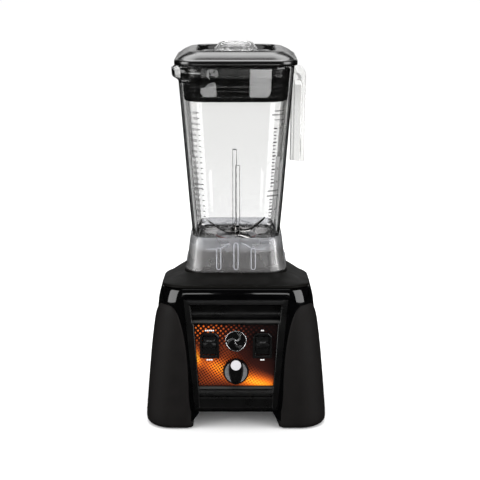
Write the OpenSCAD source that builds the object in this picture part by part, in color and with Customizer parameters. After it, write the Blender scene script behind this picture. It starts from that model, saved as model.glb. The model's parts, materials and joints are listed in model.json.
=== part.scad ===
// Countertop blender: motor base with control fascia, lift-off jar with blade unit, lid and cap.
// Frame: origin on the surface under the middle of the base, +Z up, controls facing -Y.

/* [Base] */
// Width over the legs at their widest
base_w = 218; // [206:1:224]
// Depth over the legs at their deepest
base_d = 208; // [200:1:214]
// Height of the deck that the jar stands on
deck_z = 183.5; // [182:0.5:186]
// Height of the arches between the legs
arch_h = 22; // [18:1:23]
// Wall thickness of the base mouldings
shell = 3; // [2.5:0.5:3.5]

/* [Jar] */
// Outer width of the jar at its foot
jar_foot_w = 102; // [100:1:104]
// Outer width of the jar at its rim
jar_rim_w = 135.6; // [132:0.2:137]
// Height of the jar's rim above the surface
jar_rim_z = 429; // [425:1:432]
// Wall thickness of the jar
jar_wall = 3.5; // [3:0.25:4]
// Height of the four inner ribs above the jar's floor
rib_h = 100; // [60:5:120]

/* [Handle] */
// Width of the grip strap
grip_w = 20; // [16:1:24]
// Distance from the jar's axis to the inner face of the grip
grip_r = 108; // [106:1:110]
// Height of the open lower end of the grip above the surface
grip_end_z = 294; // [280:1:320]

/* [Lid] */
// Width of the lid's rim
lid_w = 142; // [140:1:143]
// Radius of the measuring cap
cap_r = 26; // [24:1:28]

/* [Controls] */
// Tilt of the control panel from upright
panel_tilt = 4.6; // [3:0.2:6]
// Radius of the speed dial's skirt
dial_r = 15.5; // [13:0.5:17]
// Distance of each switch from the middle of the panel
switch_x = 31.3; // [30:0.5:33]

/* [Hidden] */
$fn = 64;
clearance = 0.05;

housing_z = 173;
foot_z = 3;
flare_z = 13;
deck_w = 177.8;
deck_d = 183;
corner_r = 32;
// The top of the base is rounder and shallower behind, and falls away to the rear.
shoulder_z = 138;
rear_corner_r = 83;
rear_draw = 12.5;
edge_drop = 0.1;
shelf_drop = 0.12;

jar_foot_z = 205;
jar_floor_z = 213;
corner_ratio = 0.45;
collar_z = deck_z;
collar_top_z = 225;

plug_z = 388;
lid_rim_z = jar_rim_z + 0.3;
plateau_z = 444.5;
cap_top_z = 452;

panel_z = 73;
panel_y = -97;
plate_t = 0.8;
switch_v = 31.6;

shaft_r = 5;

// ---- Shared shapes ----

// One ring of a rounded rectangle with half width hx. It reaches front and rear from the middle, with corner
// radii rf and rr, and it lies at height z in front and falls by drop for each millimetre further back.
ring_steps = 8;
function form_ring(hx, front, rf, rear, rr, z, drop) = [
    for (c = [0:3])
        for (i = [0:ring_steps])
            let (a = 90 * (c + i / ring_steps),
                 r = c < 2 ? rr : rf,
                 y = (c < 2 ? rear - r : r - front) + r * sin(a))
            [((c == 0 || c == 3) ? 1 : -1) * (hx - r) + r * cos(a), y, z - drop * (y + deck_d / 2)]
];

// One level ring of a rounded rectangle: half sizes hx and hy, corner radius r, at height z.
function ring(hx, hy, r, z) = form_ring(hx, hy, r, hy, r, z, 0);

// A closed solid through rings that all have the same number of points, lowest ring first.
module loft(rings) {
    n = len(rings[0]);
    m = len(rings);
    polyhedron(
        points = [for (k = [0:m - 1]) for (p = rings[k]) p],
        faces = concat(
            [[for (j = [0:n - 1]) j]],
            [for (k = [0:m - 2]) for (j = [0:n - 1])
                [k * n + j, (k + 1) * n + j, (k + 1) * n + (j + 1) % n]],
            [for (k = [0:m - 2]) for (j = [0:n - 1])
                [k * n + j, (k + 1) * n + (j + 1) % n, k * n + (j + 1) % n]],
            [[for (j = [n - 1:-1:0]) (m - 1) * n + j]]
        )
    );
}

// A ring lying between two radii.
module tube(outer, inner, h) {
    difference() {
        cylinder(r = outer, h = h);
        translate([0, 0, -1])
            cylinder(r = inner, h = h + 2);
    }
}

// Children once at each of the four corners at distances x and y.
module at_corners(x, y) {
    for (sx = [-1, 1])
        for (sy = [-1, 1])
            translate([sx * x, sy * y, 0])
                children();
}

// A flat bar with rounded ends, along X, centred.
module slot_2d(length, width) {
    square([length - width, width], center = true);
    for (s = [-1, 1])
        translate([s * (length - width) / 2, 0])
            circle(d = width);
}

// ---- Base ----

// How far the base has drawn in at height z, from 0 at its widest to 1 at the deck.
function draw_in(z) =
    let (t = max(0, (z - flare_z) / (housing_z - flare_z)))
    0.65 * t + 0.35 * pow(t, 4);
function base_hx(z) = base_w / 2 - (base_w - deck_w) / 2 * draw_in(z);
function base_hy(z) = base_d / 2 - (base_d - deck_d) / 2 * draw_in(z);
function rear_share(z) = min(1, max(0, (z - shoulder_z) / (housing_z - shoulder_z)));
function base_ring(z, inset = 0) =
    let (q = rear_share(z))
    form_ring(base_hx(z) - inset, base_hy(z) - inset, corner_r - inset, base_hy(z) - rear_draw * q - inset,
              corner_r + (rear_corner_r - corner_r) * q - inset, z, edge_drop * q);

// The base's outer form from z0 up to z1, drawn in by inset all round.
module base_form(inset = 0, z0 = foot_z, z1 = housing_z) {
    foot_fillet = 5;
    heights = [for (z = [flare_z, 45, 85, 120, shoulder_z, 157, 165]) if (z > z0 && z < z1) z];
    loft(concat(
        [base_ring(z0, z0 < flare_z ? inset + foot_fillet : inset)],
        z0 < flare_z ? [base_ring(z0 + 2, inset + 1.5)] : [],
        [for (z = heights) base_ring(z, inset)],
        [base_ring(z1, inset)]
    ));
}

// Outline of one leg seen from the front or the side, to the right of the middle.
module leg_outline() {
    apex_z = 152;
    polygon(concat(
        [[130, 0], [53.5, 0], [53.5, 26]],
        [for (t = [0:0.1:1]) [56 + 26 * (1 - pow(1 - pow(t, 2.1), 0.45)), 46 + (apex_z - 46) * t]],
        [[88, apex_z - 2], [93, apex_z - 7], [100, apex_z - 20], [130, apex_z - 40]]
    ));
}

module leg_region(sx, sy) {
    intersection() {
        rotate([90, 0, 0])
            linear_extrude(height = 2 * base_d, center = true)
                scale([sx, 1])
                    leg_outline();
        rotate([90, 0, 90])
            linear_extrude(height = 2 * base_w, center = true)
                scale([sy, 1])
                    leg_outline();
    }
}

// The cross-shaped space under the base between the four legs.
module arch_space(grow = 0) {
    outline = [[-62 - grow, -1], [-55 - grow, 8], [-48 - grow, arch_h - 5], [-44 - grow, arch_h + grow],
               [44 + grow, arch_h + grow], [48 + grow, arch_h - 5], [55 + grow, 8], [62 + grow, -1]];
    for (a = [0, 90])
        rotate([90, 0, a])
            linear_extrude(height = 2 * base_w, center = true)
                polygon(outline);
}

pad_t = 2.5;
floor_hole_r = 54;
plate_screw_r = 56;
gland_z = 42;

module base_housing() {
    color([0.02, 0.02, 0.02])
        difference() {
            base_form();
            for (sx = [-1, 1])
                for (sy = [-1, 1])
                    difference() {
                        leg_region(sx, sy);
                        base_form(inset = pad_t, z0 = foot_z - 1);
                    }
            difference() {
                base_form(inset = shell + pad_t, z0 = 9, z1 = housing_z + 1);
                arch_space(grow = shell);
            }
            arch_space();
            cylinder(r = floor_hole_r, h = 60);
            for (a = [0:90:270])
                rotate(a + 45)
                    translate([plate_screw_r, 0, arch_h - 1])
                        cylinder(r = 1.6, h = 10);
            fascia_cutout();
            at_corners(80, 75)
                cylinder(r = foot_r + 0.2, h = foot_top_z);
            translate([0, 90, gland_z])
                rotate([-90, 0, 0])
                    cylinder(r = gland_r, h = 30);
            rear_vents();
        }
}

vent_pitch = 8;
module rear_vents() {
    for (i = [-3:3])
        translate([i * vent_pitch, 90, 112])
            rotate([-90, 90, 0])
                linear_extrude(height = 20)
                    slot_2d(44, 4);
}

module leg_cover(sx, sy) {
    color([0.09, 0.08, 0.075])
        difference() {
            intersection() {
                base_form();
                leg_region(sx, sy);
            }
            base_form(inset = pad_t, z0 = foot_z - 1);
        }
}

// Roof over the motor, with the square plinth that the jar stands on.
deck_half = 61.5;
deck_corner_r = 27;
deck_hole_r = 17;
// A ring that follows the housing's top edge, drawn in by inset and raised by rise.
function edge_ring(inset, rise, drop = edge_drop, rear_r = 0) =
    form_ring(base_hx(housing_z) - inset, base_hy(housing_z) - inset, corner_r - min(inset, 4),
              base_hy(housing_z) - rear_draw - inset, rear_r > 0 ? rear_r : rear_corner_r - inset,
              housing_z + rise, drop);
// The ring where the sloping roof meets the plinth, lowered by under.
function shelf_ring(half, under) =
    form_ring(half, half, deck_corner_r, half, deck_corner_r,
              deck_z - under + shelf_drop * (deck_d / 2 - deck_half), shelf_drop);
module top_cover() {
    inner_half = deck_half - shell;
    boss_r = 6;
    color([0.06, 0.06, 0.055])
        difference() {
            union() {
                loft([base_ring(housing_z), edge_ring(1.2, 2.5), edge_ring(7, 5.2, 0.108), edge_ring(16.5, 7.8, 0.1, 46),
                      shelf_ring(deck_half + 1, 0.8), ring(deck_half, deck_half, deck_corner_r, deck_z)]);
                difference() {
                    base_form(inset = shell + pad_t + 0.3, z0 = housing_z - 6, z1 = housing_z + 0.5);
                    base_form(inset = shell + pad_t + 3, z0 = housing_z - 8, z1 = housing_z + 2);
                }
                at_corners(motor_bolt_x, motor_bolt_x)
                    translate([0, 0, bracket_top_z])
                        cylinder(r = boss_r, h = deck_z - 4 - bracket_top_z);
            }
            difference() {
                loft([edge_ring(shell + 4, -0.5), edge_ring(13, 1.8, 0.107), shelf_ring(inner_half + 1, 5),
                      ring(inner_half, inner_half, deck_corner_r, deck_z - 4)]);
                at_corners(motor_bolt_x, motor_bolt_x)
                    translate([0, 0, bracket_top_z])
                        cylinder(r = boss_r, h = 60);
            }
            translate([0, 0, housing_z - 10])
                cylinder(r = deck_hole_r, h = 40);
            at_corners(motor_bolt_x, motor_bolt_x)
                translate([0, 0, bracket_top_z - 1])
                    cylinder(r = 2, h = 12);
        }
}

foot_r = 12;
foot_top_z = 7;
module rubber_feet() {
    color([0.03, 0.03, 0.03])
        at_corners(80, 75) {
            cylinder(r1 = foot_r - 1.5, r2 = foot_r, h = 1.5);
            translate([0, 0, 1.5])
                cylinder(r = foot_r, h = foot_top_z - 1.5);
        }
}

plate_r = 58.5;
plate_h = 2.5;
module bottom_plate() {
    color([0.05, 0.05, 0.05])
        translate([0, 0, arch_h - plate_h])
            difference() {
                cylinder(r = plate_r, h = plate_h);
                for (a = [15:30:345])
                    rotate(a)
                        translate([33, 0, -1])
                            linear_extrude(height = plate_h + 2)
                                slot_2d(26, 5);
                for (a = [0:90:270])
                    rotate(a + 45)
                        translate([plate_screw_r, 0, -1])
                            cylinder(r = 1.7, h = plate_h + 2);
                translate([0, 0, -1])
                    cylinder(r = reset_r + clearance, h = plate_h + 2);
            }
}

module bottom_screws() {
    color([0.6, 0.6, 0.62])
        for (a = [0:90:270])
            rotate(a + 45)
                translate([plate_screw_r, 0, arch_h - plate_h - 1.6]) {
                    difference() {
                        cylinder(r = 2.4, h = 1.6);
                        translate([0, 0, -0.1])
                            linear_extrude(height = 0.9)
                                for (s = [0, 90])
                                    rotate(s)
                                        square([3, 0.7], center = true);
                    }
                    translate([0, 0, 1.6])
                        cylinder(r = 1.5, h = 8);
                }
}

reset_r = 5;
module reset_button() {
    color([0.55, 0.05, 0.04])
        translate([0, 0, arch_h - plate_h - 3]) {
            cylinder(r = reset_r, h = plate_h + 3.5);
            translate([0, 0, plate_h + 3.2])
                cylinder(r = reset_r + 2, h = 1.5);
        }
}

// Grommet that the mains lead leaves through, pressed into the rear wall.
gland_r = 9;
gland_bore_r = 4;
gland_inner_y = 92;
gland_flange_r = 13;
module cord_gland() {
    color([0.025, 0.025, 0.025])
        translate([0, gland_inner_y, gland_z])
            rotate([-90, 0, 0])
                difference() {
                    union() {
                        cylinder(r = gland_r, h = front_reach - gland_inner_y - 4);
                        translate([0, 0, base_hy(gland_z - gland_flange_r) - gland_inner_y])
                            cylinder(r = gland_flange_r, h = 3.5);
                        cylinder(r = gland_flange_r, h = 3);
                        cylinder(r = 6.5, h = front_reach - gland_inner_y);
                    }
                    translate([0, 0, -1])
                        cylinder(r = gland_bore_r, h = 60);
                }
}

// ---- Control fascia ----

// Places children on the panel plane: x across, v up the panel from its reference point, +Z outwards.
module on_panel(x = 0, v = 0) {
    translate([0, panel_y, panel_z])
        rotate([90 - panel_tilt, 0, 0])
            translate([x, v, 0])
                children();
}

// A trapezium that narrows downwards, between v0 and v1.
module taper_2d(w0, v0, w1, v1) {
    polygon([[-w0, v0], [w0, v0], [w1, v1], [-w1, v1]]);
}

frame_low = -48;
frame_high = 87;
frame_low_w = 49.2;
frame_high_w = 61.7;
frame_proud = 5;
plate_low = -18.2;
plate_high = 56.4;
plate_low_w = 44.3;
plate_high_w = 49.4;

module fascia_cutout() {
    on_panel()
        translate([0, 0, -20])
            linear_extrude(height = 60)
                taper_2d(frame_low_w - 2, frame_low + 2, frame_high_w - 2, frame_high - 2);
}

module fascia_frame() {
    back = 5;
    scoop_back = 4;
    color([0.035, 0.035, 0.035])
        difference() {
            on_panel() {
                translate([0, 0, -back])
                    linear_extrude(height = back + frame_proud - 1)
                        taper_2d(frame_low_w - 2.1, frame_low + 2.1, frame_high_w - 2.1, frame_high - 2.1);
                difference() {
                    translate([0, 0, 1])
                        linear_extrude(height = frame_proud - 1)
                            taper_2d(frame_low_w, frame_low, frame_high_w, frame_high);
                    translate([0, 0, -1])
                        linear_extrude(height = 20)
                            taper_2d(frame_low_w - 3, frame_low + 3, frame_high_w - 3, frame_high - 3);
                }
            }
            difference() {
                base_form(inset = 0, z0 = foot_z);
                fascia_cutout();
            }
            on_panel() {
                // pocket for the printed panel
                linear_extrude(height = 20)
                    taper_2d(plate_low_w + 0.2, plate_low - 0.2, plate_high_w + 0.2, plate_high + 0.2);
                // scoop above the panel, deeper than the panel itself
                translate([0, 0, -scoop_back])
                    linear_extrude(height = 20)
                        taper_2d(51.6, 58.8, 53.8, 80.5);
                // two shallow steps of the apron below the panel
                translate([0, 0, 2.6])
                    linear_extrude(height = 20)
                        taper_2d(44, -31, 44.6, -20.5);
                translate([0, 0, 3.3])
                    linear_extrude(height = 20)
                        taper_2d(43.5, -43, 43.9, -33);
                for (s = [-1, 1])
                    translate([s * switch_x, switch_v, -10])
                        cube([16.4, 23.4, 30], center = true);
                translate([0, 0, -10])
                    cylinder(r = 5, h = 30);
            }
        }
}

module control_panel() {
    color([0.75, 0.3, 0.05])
        on_panel()
            difference() {
                linear_extrude(height = plate_t)
                    taper_2d(plate_low_w, plate_low, plate_high_w, plate_high);
                for (s = [-1, 1])
                    translate([s * switch_x, switch_v, 0])
                        cube([16.4, 23.4, 10], center = true);
                translate([0, 0, -1])
                    cylinder(r = 4.5, h = 10);
            }
}

// ---- Switches ----

bezel_w = 22.7;
bezel_h = 30.4;
bezel_t = 3.4;
paddle_w = 15.4;
paddle_h = 22.4;
rocker_lift = 1.5;
rock_angle = 5;
thumb_r = 16;

module switch_bezel(side) {
    chamfer = 4.5;
    color([0.02, 0.02, 0.02])
        on_panel(side * switch_x, switch_v)
            difference() {
                translate([0, 0, plate_t])
                    linear_extrude(height = bezel_t)
                        polygon([[-bezel_w / 2, -bezel_h / 2], [bezel_w / 2, -bezel_h / 2],
                                 [bezel_w / 2, bezel_h / 2 - chamfer], [bezel_w / 2 - chamfer, bezel_h / 2],
                                 [-bezel_w / 2 + chamfer, bezel_h / 2], [-bezel_w / 2, bezel_h / 2 - chamfer]]);
                translate([0, 0, -1])
                    linear_extrude(height = 10)
                        square([paddle_w + 1.2, paddle_h + 2], center = true);
            }
}

module switch_body(side) {
    depth = 16;
    rim = -3.9;
    color([0.1, 0.1, 0.1])
        on_panel(side * switch_x, switch_v) {
            difference() {
                translate([0, 0, rim - depth / 2])
                    cube([16, 23, depth], center = true);
                translate([0, 0, rim])
                    cube([14, 21, 14], center = true);
            }
            for (v = [-7, 0, 7])
                translate([0, v, rim - depth - 2.9])
                    cube([5, 1, 6], center = true);
        }
}

// A paddle that rocks about a line across its middle: thumb dish above, ridge across, flat below.
module switch_paddle(side, tilt) {
    color([0.015, 0.015, 0.015])
        on_panel(side * switch_x, switch_v)
            translate([0, 0, rocker_lift])
                rotate([tilt, 0, 0])
                    difference() {
                        union() {
                            rotate([90, 0, 90])
                                linear_extrude(height = paddle_w, center = true)
                                    polygon([[-paddle_h / 2, 0.6], [-paddle_h / 2 + 1, -3],
                                             [paddle_h / 2 - 1, -3], [paddle_h / 2, 0.8],
                                             [paddle_h / 2 - 0.6, 3.4], [3.2, 2.6], [1.2, 4.2], [-1.6, 4.2],
                                             [-3, 2.4], [-paddle_h / 2 + 0.6, 2.2]]);
                            translate([0, 0, -5])
                                cube([8, 4, 6], center = true);
                        }
                        translate([0, 8.5, thumb_r + 1.6])
                            rotate([0, 90, 0])
                                sphere(r = thumb_r);
                    }
}

// ---- Speed dial ----

skirt_t = 5;
dial_gap = 0.8;
module speed_knob() {
    color([0.01, 0.01, 0.01])
        on_panel()
            difference() {
                union() {
                    translate([0, 0, plate_t + dial_gap])
                        cylinder(r1 = dial_r, r2 = dial_r - 1, h = skirt_t);
                    translate([0, 0, plate_t + dial_gap + skirt_t])
                        linear_extrude(height = grip_h) {
                            circle(r = 7.5);
                            polygon([[-7.5, 0], [7.5, 0], [6.2, dot_v], [-6.2, dot_v]]);
                            translate([0, dot_v])
                                circle(r = 6.2);
                        }
                }
                translate([0, 0, plate_t + dial_gap + skirt_t - dial_face_t])
                    tube(dial_r - 2.2, 8.2, 5);
                translate([0, 0, plate_t + dial_gap - 0.1])
                    cylinder(r = pot_shaft_r, h = 8);
                translate([0, dot_v, plate_t + dial_gap + skirt_t + grip_h - dot_sink])
                    cylinder(r = dot_r, h = 5);
            }
}

dial_face_t = 0.6;
dot_r = 5.6;
dot_sink = 1;
dot_rise = 1.5;
grip_h = 6.5;
dot_v = 11.8;
dot_top_r = dot_r - 1.4;
pot_shaft_r = 3;
// Distance from the middle of the base to the front of the dial; the cord grommet reaches as far back.
front_reach = -panel_y + (plate_t + dial_gap + skirt_t + grip_h + dot_rise) * cos(panel_tilt)
              - (dot_v - dot_top_r) * sin(panel_tilt);
module dial_face() {
    color([0.6, 0.6, 0.6])
        on_panel()
            translate([0, 0, plate_t + dial_gap + skirt_t - dial_face_t])
                difference() {
                    tube(dial_r - 2.25, 8.25, dial_face_t);
                    translate([0, dot_v, -1])
                        cylinder(r = 6.25, h = 5);
                    linear_extrude(height = 5, center = true)
                        polygon([[-7.6, 0], [7.6, 0], [6.3, dot_v], [-6.3, dot_v]]);
                }
}

module pointer_dot() {
    color([0.9, 0.9, 0.9])
        on_panel(0, dot_v)
            translate([0, 0, plate_t + dial_gap + skirt_t + grip_h - dot_sink]) {
                cylinder(r = dot_r - 0.05, h = dot_sink + 0.6);
                translate([0, 0, dot_sink + 0.6])
                    cylinder(r1 = dot_r - 0.05, r2 = dot_top_r, h = dot_rise - 0.6);
            }
}

module speed_control_shaft() {
    color([0.7, 0.7, 0.7])
        on_panel()
            translate([0, 0, -8])
                cylinder(r = pot_shaft_r - clearance, h = 8 + plate_t + dial_gap + 6);
}

module speed_control() {
    color([0.15, 0.2, 0.15])
        on_panel()
            difference() {
                union() {
                    translate([0, 0, -17])
                        cylinder(r = 11, h = 11.8);
                    translate([0, 0, -6])
                        cylinder(r = 4.4, h = 6);
                }
                translate([0, 0, -9])
                    cylinder(r = pot_shaft_r, h = 20);
            }
}

board_y = -76;
module circuit_board() {
    color([0.05, 0.25, 0.12])
        translate([0, board_y, 58]) {
            cube([84, 1.6, 50], center = true);
            translate([-28, 6, 8])
                cube([18, 10.5, 26], center = true);
            translate([4, 5.5, 12])
                rotate([90, 0, 0])
                    cylinder(r = 8, h = 9.5, center = true);
            translate([28, 4.5, -6])
                cube([20, 7.5, 14], center = true);
            translate([-2, 3.5, -14])
                cube([24, 5.5, 8], center = true);
        }
}

// ---- Motor ----

motor_bolt_x = 38;
stator_z0 = 78;
stator_z1 = 118;
stator_r = 47;
bracket_top_z = 152;
bearing_r = 11;

module motor_stator() {
    color([0.35, 0.35, 0.37])
        translate([0, 0, stator_z0])
            difference() {
                cylinder(r = stator_r, h = stator_z1 - stator_z0);
                translate([0, 0, -1])
                    cylinder(r = 27.5, h = 60);
                for (a = [0:60:300])
                    rotate(a)
                        translate([33, 0, -1])
                            linear_extrude(height = 60)
                                slot_2d(9, 6);
                for (a = [0, 180])
                    rotate(a)
                        translate([stator_r + 6, 0, -1])
                            cylinder(r = 12, h = 60);
            }
}

module field_coils() {
    color([0.65, 0.3, 0.1])
        for (z = [stator_z0 - 4.5, stator_z1 + 4.5])
            for (a = [20, 200])
                rotate(a)
                    translate([0, 0, z])
                        rotate_extrude(angle = 140)
                            translate([34, 0])
                                circle(r = 4.2, $fn = 32);
}

arm_t = 5;
module spider(z, h, hub_r, bore, bearing_h) {
    difference() {
        union() {
            translate([0, 0, z])
                cylinder(r = hub_r, h = h);
            translate([0, 0, z])
                linear_extrude(height = arm_t)
                    for (a = [45, 135])
                        rotate(a)
                            slot_2d(2 * (motor_bolt_x * sqrt(2) + 7), 14);
        }
        translate([0, 0, z - 1])
            cylinder(r = shaft_r + 2, h = h + 2);
        translate([0, 0, z + h - bearing_h])
            cylinder(r = bore, h = bearing_h + 1);
        at_corners(motor_bolt_x, motor_bolt_x)
            translate([0, 0, z - 1])
                cylinder(r = 2, h = 10);
    }
}

module upper_motor_bracket() {
    color([0.7, 0.7, 0.72])
        mirror([0, 0, 1])
            translate([0, 0, -bracket_top_z])
                spider(0, 10, 15, bearing_r, 7);
}

module lower_motor_bracket() {
    color([0.7, 0.7, 0.72])
        spider(lower_bracket_z, 10, 15, bearing_r, 7);
}

lower_bracket_z = 40;
module ball_bearing(z, inner, outer, h) {
    translate([0, 0, z])
        tube(outer, inner, h);
}

module upper_motor_bearing() {
    color([0.75, 0.75, 0.78])
        ball_bearing(bracket_top_z - 10, shaft_r + clearance, bearing_r, 7);
}

module lower_motor_bearing() {
    color([0.75, 0.75, 0.78])
        ball_bearing(lower_bracket_z + 3, shaft_r + clearance, bearing_r, 7);
}

module motor_bolts() {
    color([0.6, 0.6, 0.62])
        at_corners(motor_bolt_x, motor_bolt_x) {
            translate([0, 0, lower_bracket_z - 3])
                cylinder(r = 3.5, h = 3, $fn = 6);
            translate([0, 0, lower_bracket_z])
                cylinder(r = 1.9, h = bracket_top_z + 8 - lower_bracket_z);
        }
}

brush_z = 62;
module brush_holders() {
    foot_h = brush_z - lower_bracket_z - arm_t - 5;
    color([0.55, 0.4, 0.15])
        for (a = [45, 225])
            rotate(a)
                translate([0, 0, brush_z])
                    difference() {
                        union() {
                            translate([29, 0, 0])
                                cube([20, 10, 12], center = true);
                            translate([24, 0, -5 - foot_h / 2])
                                cube([6, 8, foot_h], center = true);
                        }
                        translate([29, 0, 0])
                            cube([30, 6, 8], center = true);
                    }
}

module carbon_brushes() {
    color([0.12, 0.12, 0.12])
        for (a = [45, 225])
            rotate(a)
                translate([24.5, 0, brush_z])
                    cube([19.6, 5.9, 7.9], center = true);
}

shaft_low_z = 34;
shaft_top_z = 190;
module motor_shaft() {
    color([0.75, 0.75, 0.78])
        translate([0, 0, shaft_low_z])
            cylinder(r = shaft_r, h = shaft_top_z - shaft_low_z);
}

module armature_core() {
    color([0.4, 0.4, 0.42])
        translate([0, 0, stator_z0 + 1])
            difference() {
                cylinder(r = 26.6, h = 38);
                translate([0, 0, -1])
                    cylinder(r = shaft_r, h = 60);
                for (a = [0:30:330])
                    rotate(a)
                        translate([24, 0, -1])
                            linear_extrude(height = 60)
                                slot_2d(8, 3);
            }
}

module commutator() {
    color([0.7, 0.4, 0.2])
        translate([0, 0, 55])
            difference() {
                cylinder(r = 14.4, h = 16);
                translate([0, 0, -1])
                    cylinder(r = shaft_r, h = 30);
                for (a = [0:30:330])
                    rotate(a)
                        translate([14.2, 0, 8])
                            cube([1.6, 0.6, 17], center = true);
            }
}

module cooling_fan() {
    blades = 9;
    color([0.12, 0.12, 0.13])
        translate([0, 0, 128])
            difference() {
                union() {
                    cylinder(r = 10, h = 11);
                    cylinder(r = 40, h = 1.8);
                    for (i = [0:blades - 1])
                        rotate(i * 360 / blades)
                            translate([24, 0, 5.6])
                                rotate([0, 0, 18])
                                    cube([30, 1.6, 10.6], center = true);
                }
                translate([0, 0, -1])
                    cylinder(r = shaft_r, h = 30);
            }
}

// Splined dog that turns the jar's socket.
teeth = 10;
module spline_2d(root_r, tip_r) {
    circle(r = root_r);
    for (i = [0:teeth - 1])
        rotate(i * 360 / teeth)
            polygon([[0, -2.2], [tip_r, -1.3], [tip_r, 1.3], [0, 2.2]]);
}

coupling_z = 186.5;
coupling_h = 11;
module drive_coupling() {
    color([0.08, 0.08, 0.08])
        difference() {
            union() {
                translate([0, 0, coupling_z])
                    linear_extrude(height = coupling_h)
                        spline_2d(8.6, 10.6);
                translate([0, 0, coupling_z - 6])
                    cylinder(r = 13, h = 6);
            }
            translate([0, 0, coupling_z - 7])
                cylinder(r = shaft_r, h = shaft_top_z - coupling_z + 7);
        }
}

// Soft pad that centres the jar and quietens it.
pad_top = 5;
module jar_pad() {
    color([0.035, 0.035, 0.035])
        difference() {
            union() {
                loft([ring(53, 53, 22, deck_z), ring(53, 53, 22, deck_z + 3),
                      ring(51, 51, 21, deck_z + pad_top)]);
                for (a = [0:90:270])
                    rotate(a)
                        translate([40, 0, deck_z + pad_top])
                            cylinder(r = 4, h = 2);
            }
            translate([0, 0, deck_z - 1])
                cylinder(r = 22, h = 20);
        }
}

// ---- Jar ----

function jar_half(z) =
    jar_foot_w / 2 + (jar_rim_w - jar_foot_w) / 2 * (z - jar_foot_z) / (jar_rim_z - jar_foot_z);
function jar_ring(z, inset = 0) =
    let (h = jar_half(z))
    ring(h - inset, h - inset, corner_ratio * h - inset, z);

spout_r = 101;
housing_hole_r = 20;

// A rounded beak at the front left corner, grown or shrunk by inset.
module spout_form(inset, drop) {
    tip = spout_r / sqrt(2) - 5;
    hull() {
        translate([0, 0, jar_rim_z - 4 + drop])
            linear_extrude(height = 4)
                for (p = [[-34, -58], [-58, -34]])
                    translate(p)
                        circle(r = 6 - inset, $fn = 32);
        translate([-tip, -tip, jar_rim_z - 5 + drop])
            cylinder(r = 7 - inset, h = 5, $fn = 32);
        translate([-48, -48, jar_rim_z - 24 + drop])
            cylinder(r = 8 - inset, h = 2, $fn = 32);
    }
}

module jar() {
    rib_w = 5;
    rib_depth = 6;
    rib_offset = 2;
    color([0.9, 0.92, 0.92, 0.35])
        difference() {
            union() {
                difference() {
                    union() {
                        loft([jar_ring(jar_foot_z, 3), jar_ring(jar_foot_z + 3), jar_ring(jar_rim_z)]);
                        spout_form(0, 0);
                    }
                    loft([jar_ring(jar_floor_z, jar_wall + 14), jar_ring(jar_floor_z + 3, jar_wall + 6),
                          jar_ring(jar_floor_z + 9, jar_wall + 1.2), jar_ring(jar_floor_z + 16, jar_wall),
                          jar_ring(jar_rim_z + 1, jar_wall)]);
                    intersection() {
                        spout_form(3, 1);
                        translate([0, 0, jar_rim_z])
                            cube([300, 300, 80], center = true);
                    }
                }
                intersection() {
                    for (a = [0:90:270])
                        rotate(a)
                            translate([rib_offset - rib_w / 2, -jar_half(jar_rim_z), jar_floor_z - 1])
                                hull() {
                                    cube([rib_w, jar_half(jar_rim_z) - jar_half(jar_floor_z) + jar_wall + rib_depth, 1]);
                                    translate([0.8, 0, rib_h])
                                        cube([rib_w - 1.6, jar_half(jar_rim_z)
                                             - jar_half(jar_floor_z + rib_h) + jar_wall + rib_depth, 1]);
                                }
                    loft([jar_ring(jar_foot_z, 1), jar_ring(jar_rim_z, 1)]);
                }
            }
            translate([0, 0, jar_foot_z - 1])
                cylinder(r = housing_hole_r, h = 20);
        }
}

grip_t = 7;
shoulder_z0 = 398;
shoulder_z1 = 419;
module jar_handle() {
    reach = grip_r + grip_t;
    root_r = 74;
    color([0.9, 0.92, 0.92, 0.35])
        difference() {
            rotate(45)
                difference() {
                    rotate([90, 0, 0])
                        linear_extrude(height = grip_w, center = true)
                            polygon(concat(
                                [[root_r, shoulder_z0], [root_r, shoulder_z1], [reach - 11, shoulder_z1]],
                                [for (a = [75:-15:0]) [reach - 11 + 14 * cos(a), shoulder_z1 - 14 + 14 * sin(a)]],
                                [[reach - 1, grip_end_z], [grip_r - 1, grip_end_z], [grip_r + 2, shoulder_z0 - 12]],
                                [for (a = [0:15:90]) [grip_r - 8 + 10 * cos(a), shoulder_z0 - 10 + 10 * sin(a)]]
                            ));
                    // channel down the outer face of the grip
                    rotate([90, 0, 0])
                        linear_extrude(height = grip_w - 7, center = true)
                            polygon([[reach - 3.5, grip_end_z - 1], [reach + 9, grip_end_z - 1],
                                     [reach + 9, shoulder_z0 - 6], [reach - 0.5, shoulder_z0 - 6]]);
                }
            loft([jar_ring(jar_foot_z), jar_ring(jar_rim_z)]);
        }
}

// Smoke-grey skirt around the jar's foot that locates it on the base.
function collar_ring(h, z) = ring(h, h, 25, z);
module jar_collar() {
    rib_x = 21.2;
    color([0.35, 0.37, 0.4, 0.6])
        difference() {
            union() {
                loft([collar_ring(60.6, collar_z), collar_ring(59.2, collar_z + 7), collar_ring(57.8, 198),
                      collar_ring(56.5, 210), collar_ring(55.2, 219), collar_ring(53.6, collar_top_z)]);
                for (a = [0:90:270])
                    rotate(a)
                        for (i = [-1:1])
                            translate([i * rib_x, -57.4, collar_z + 17])
                                rotate([90 + 3.5, 0, 0])
                                    linear_extrude(height = 2.6)
                                        rotate(90)
                                            slot_2d(29, 5.4);
            }
            loft([collar_ring(57.4, collar_z - 1), collar_ring(55, 202), collar_ring(54, jar_foot_z)]);
            loft([jar_ring(jar_foot_z - 3), jar_ring(collar_top_z + 1)]);
        }
}

// ---- Blade unit ----

unit_low_z = 201;
blade_bearing_r = 8;
blade_bearing_h = 4.7;
blade_shaft_r = 4;
gasket_t = 0.8;

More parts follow.
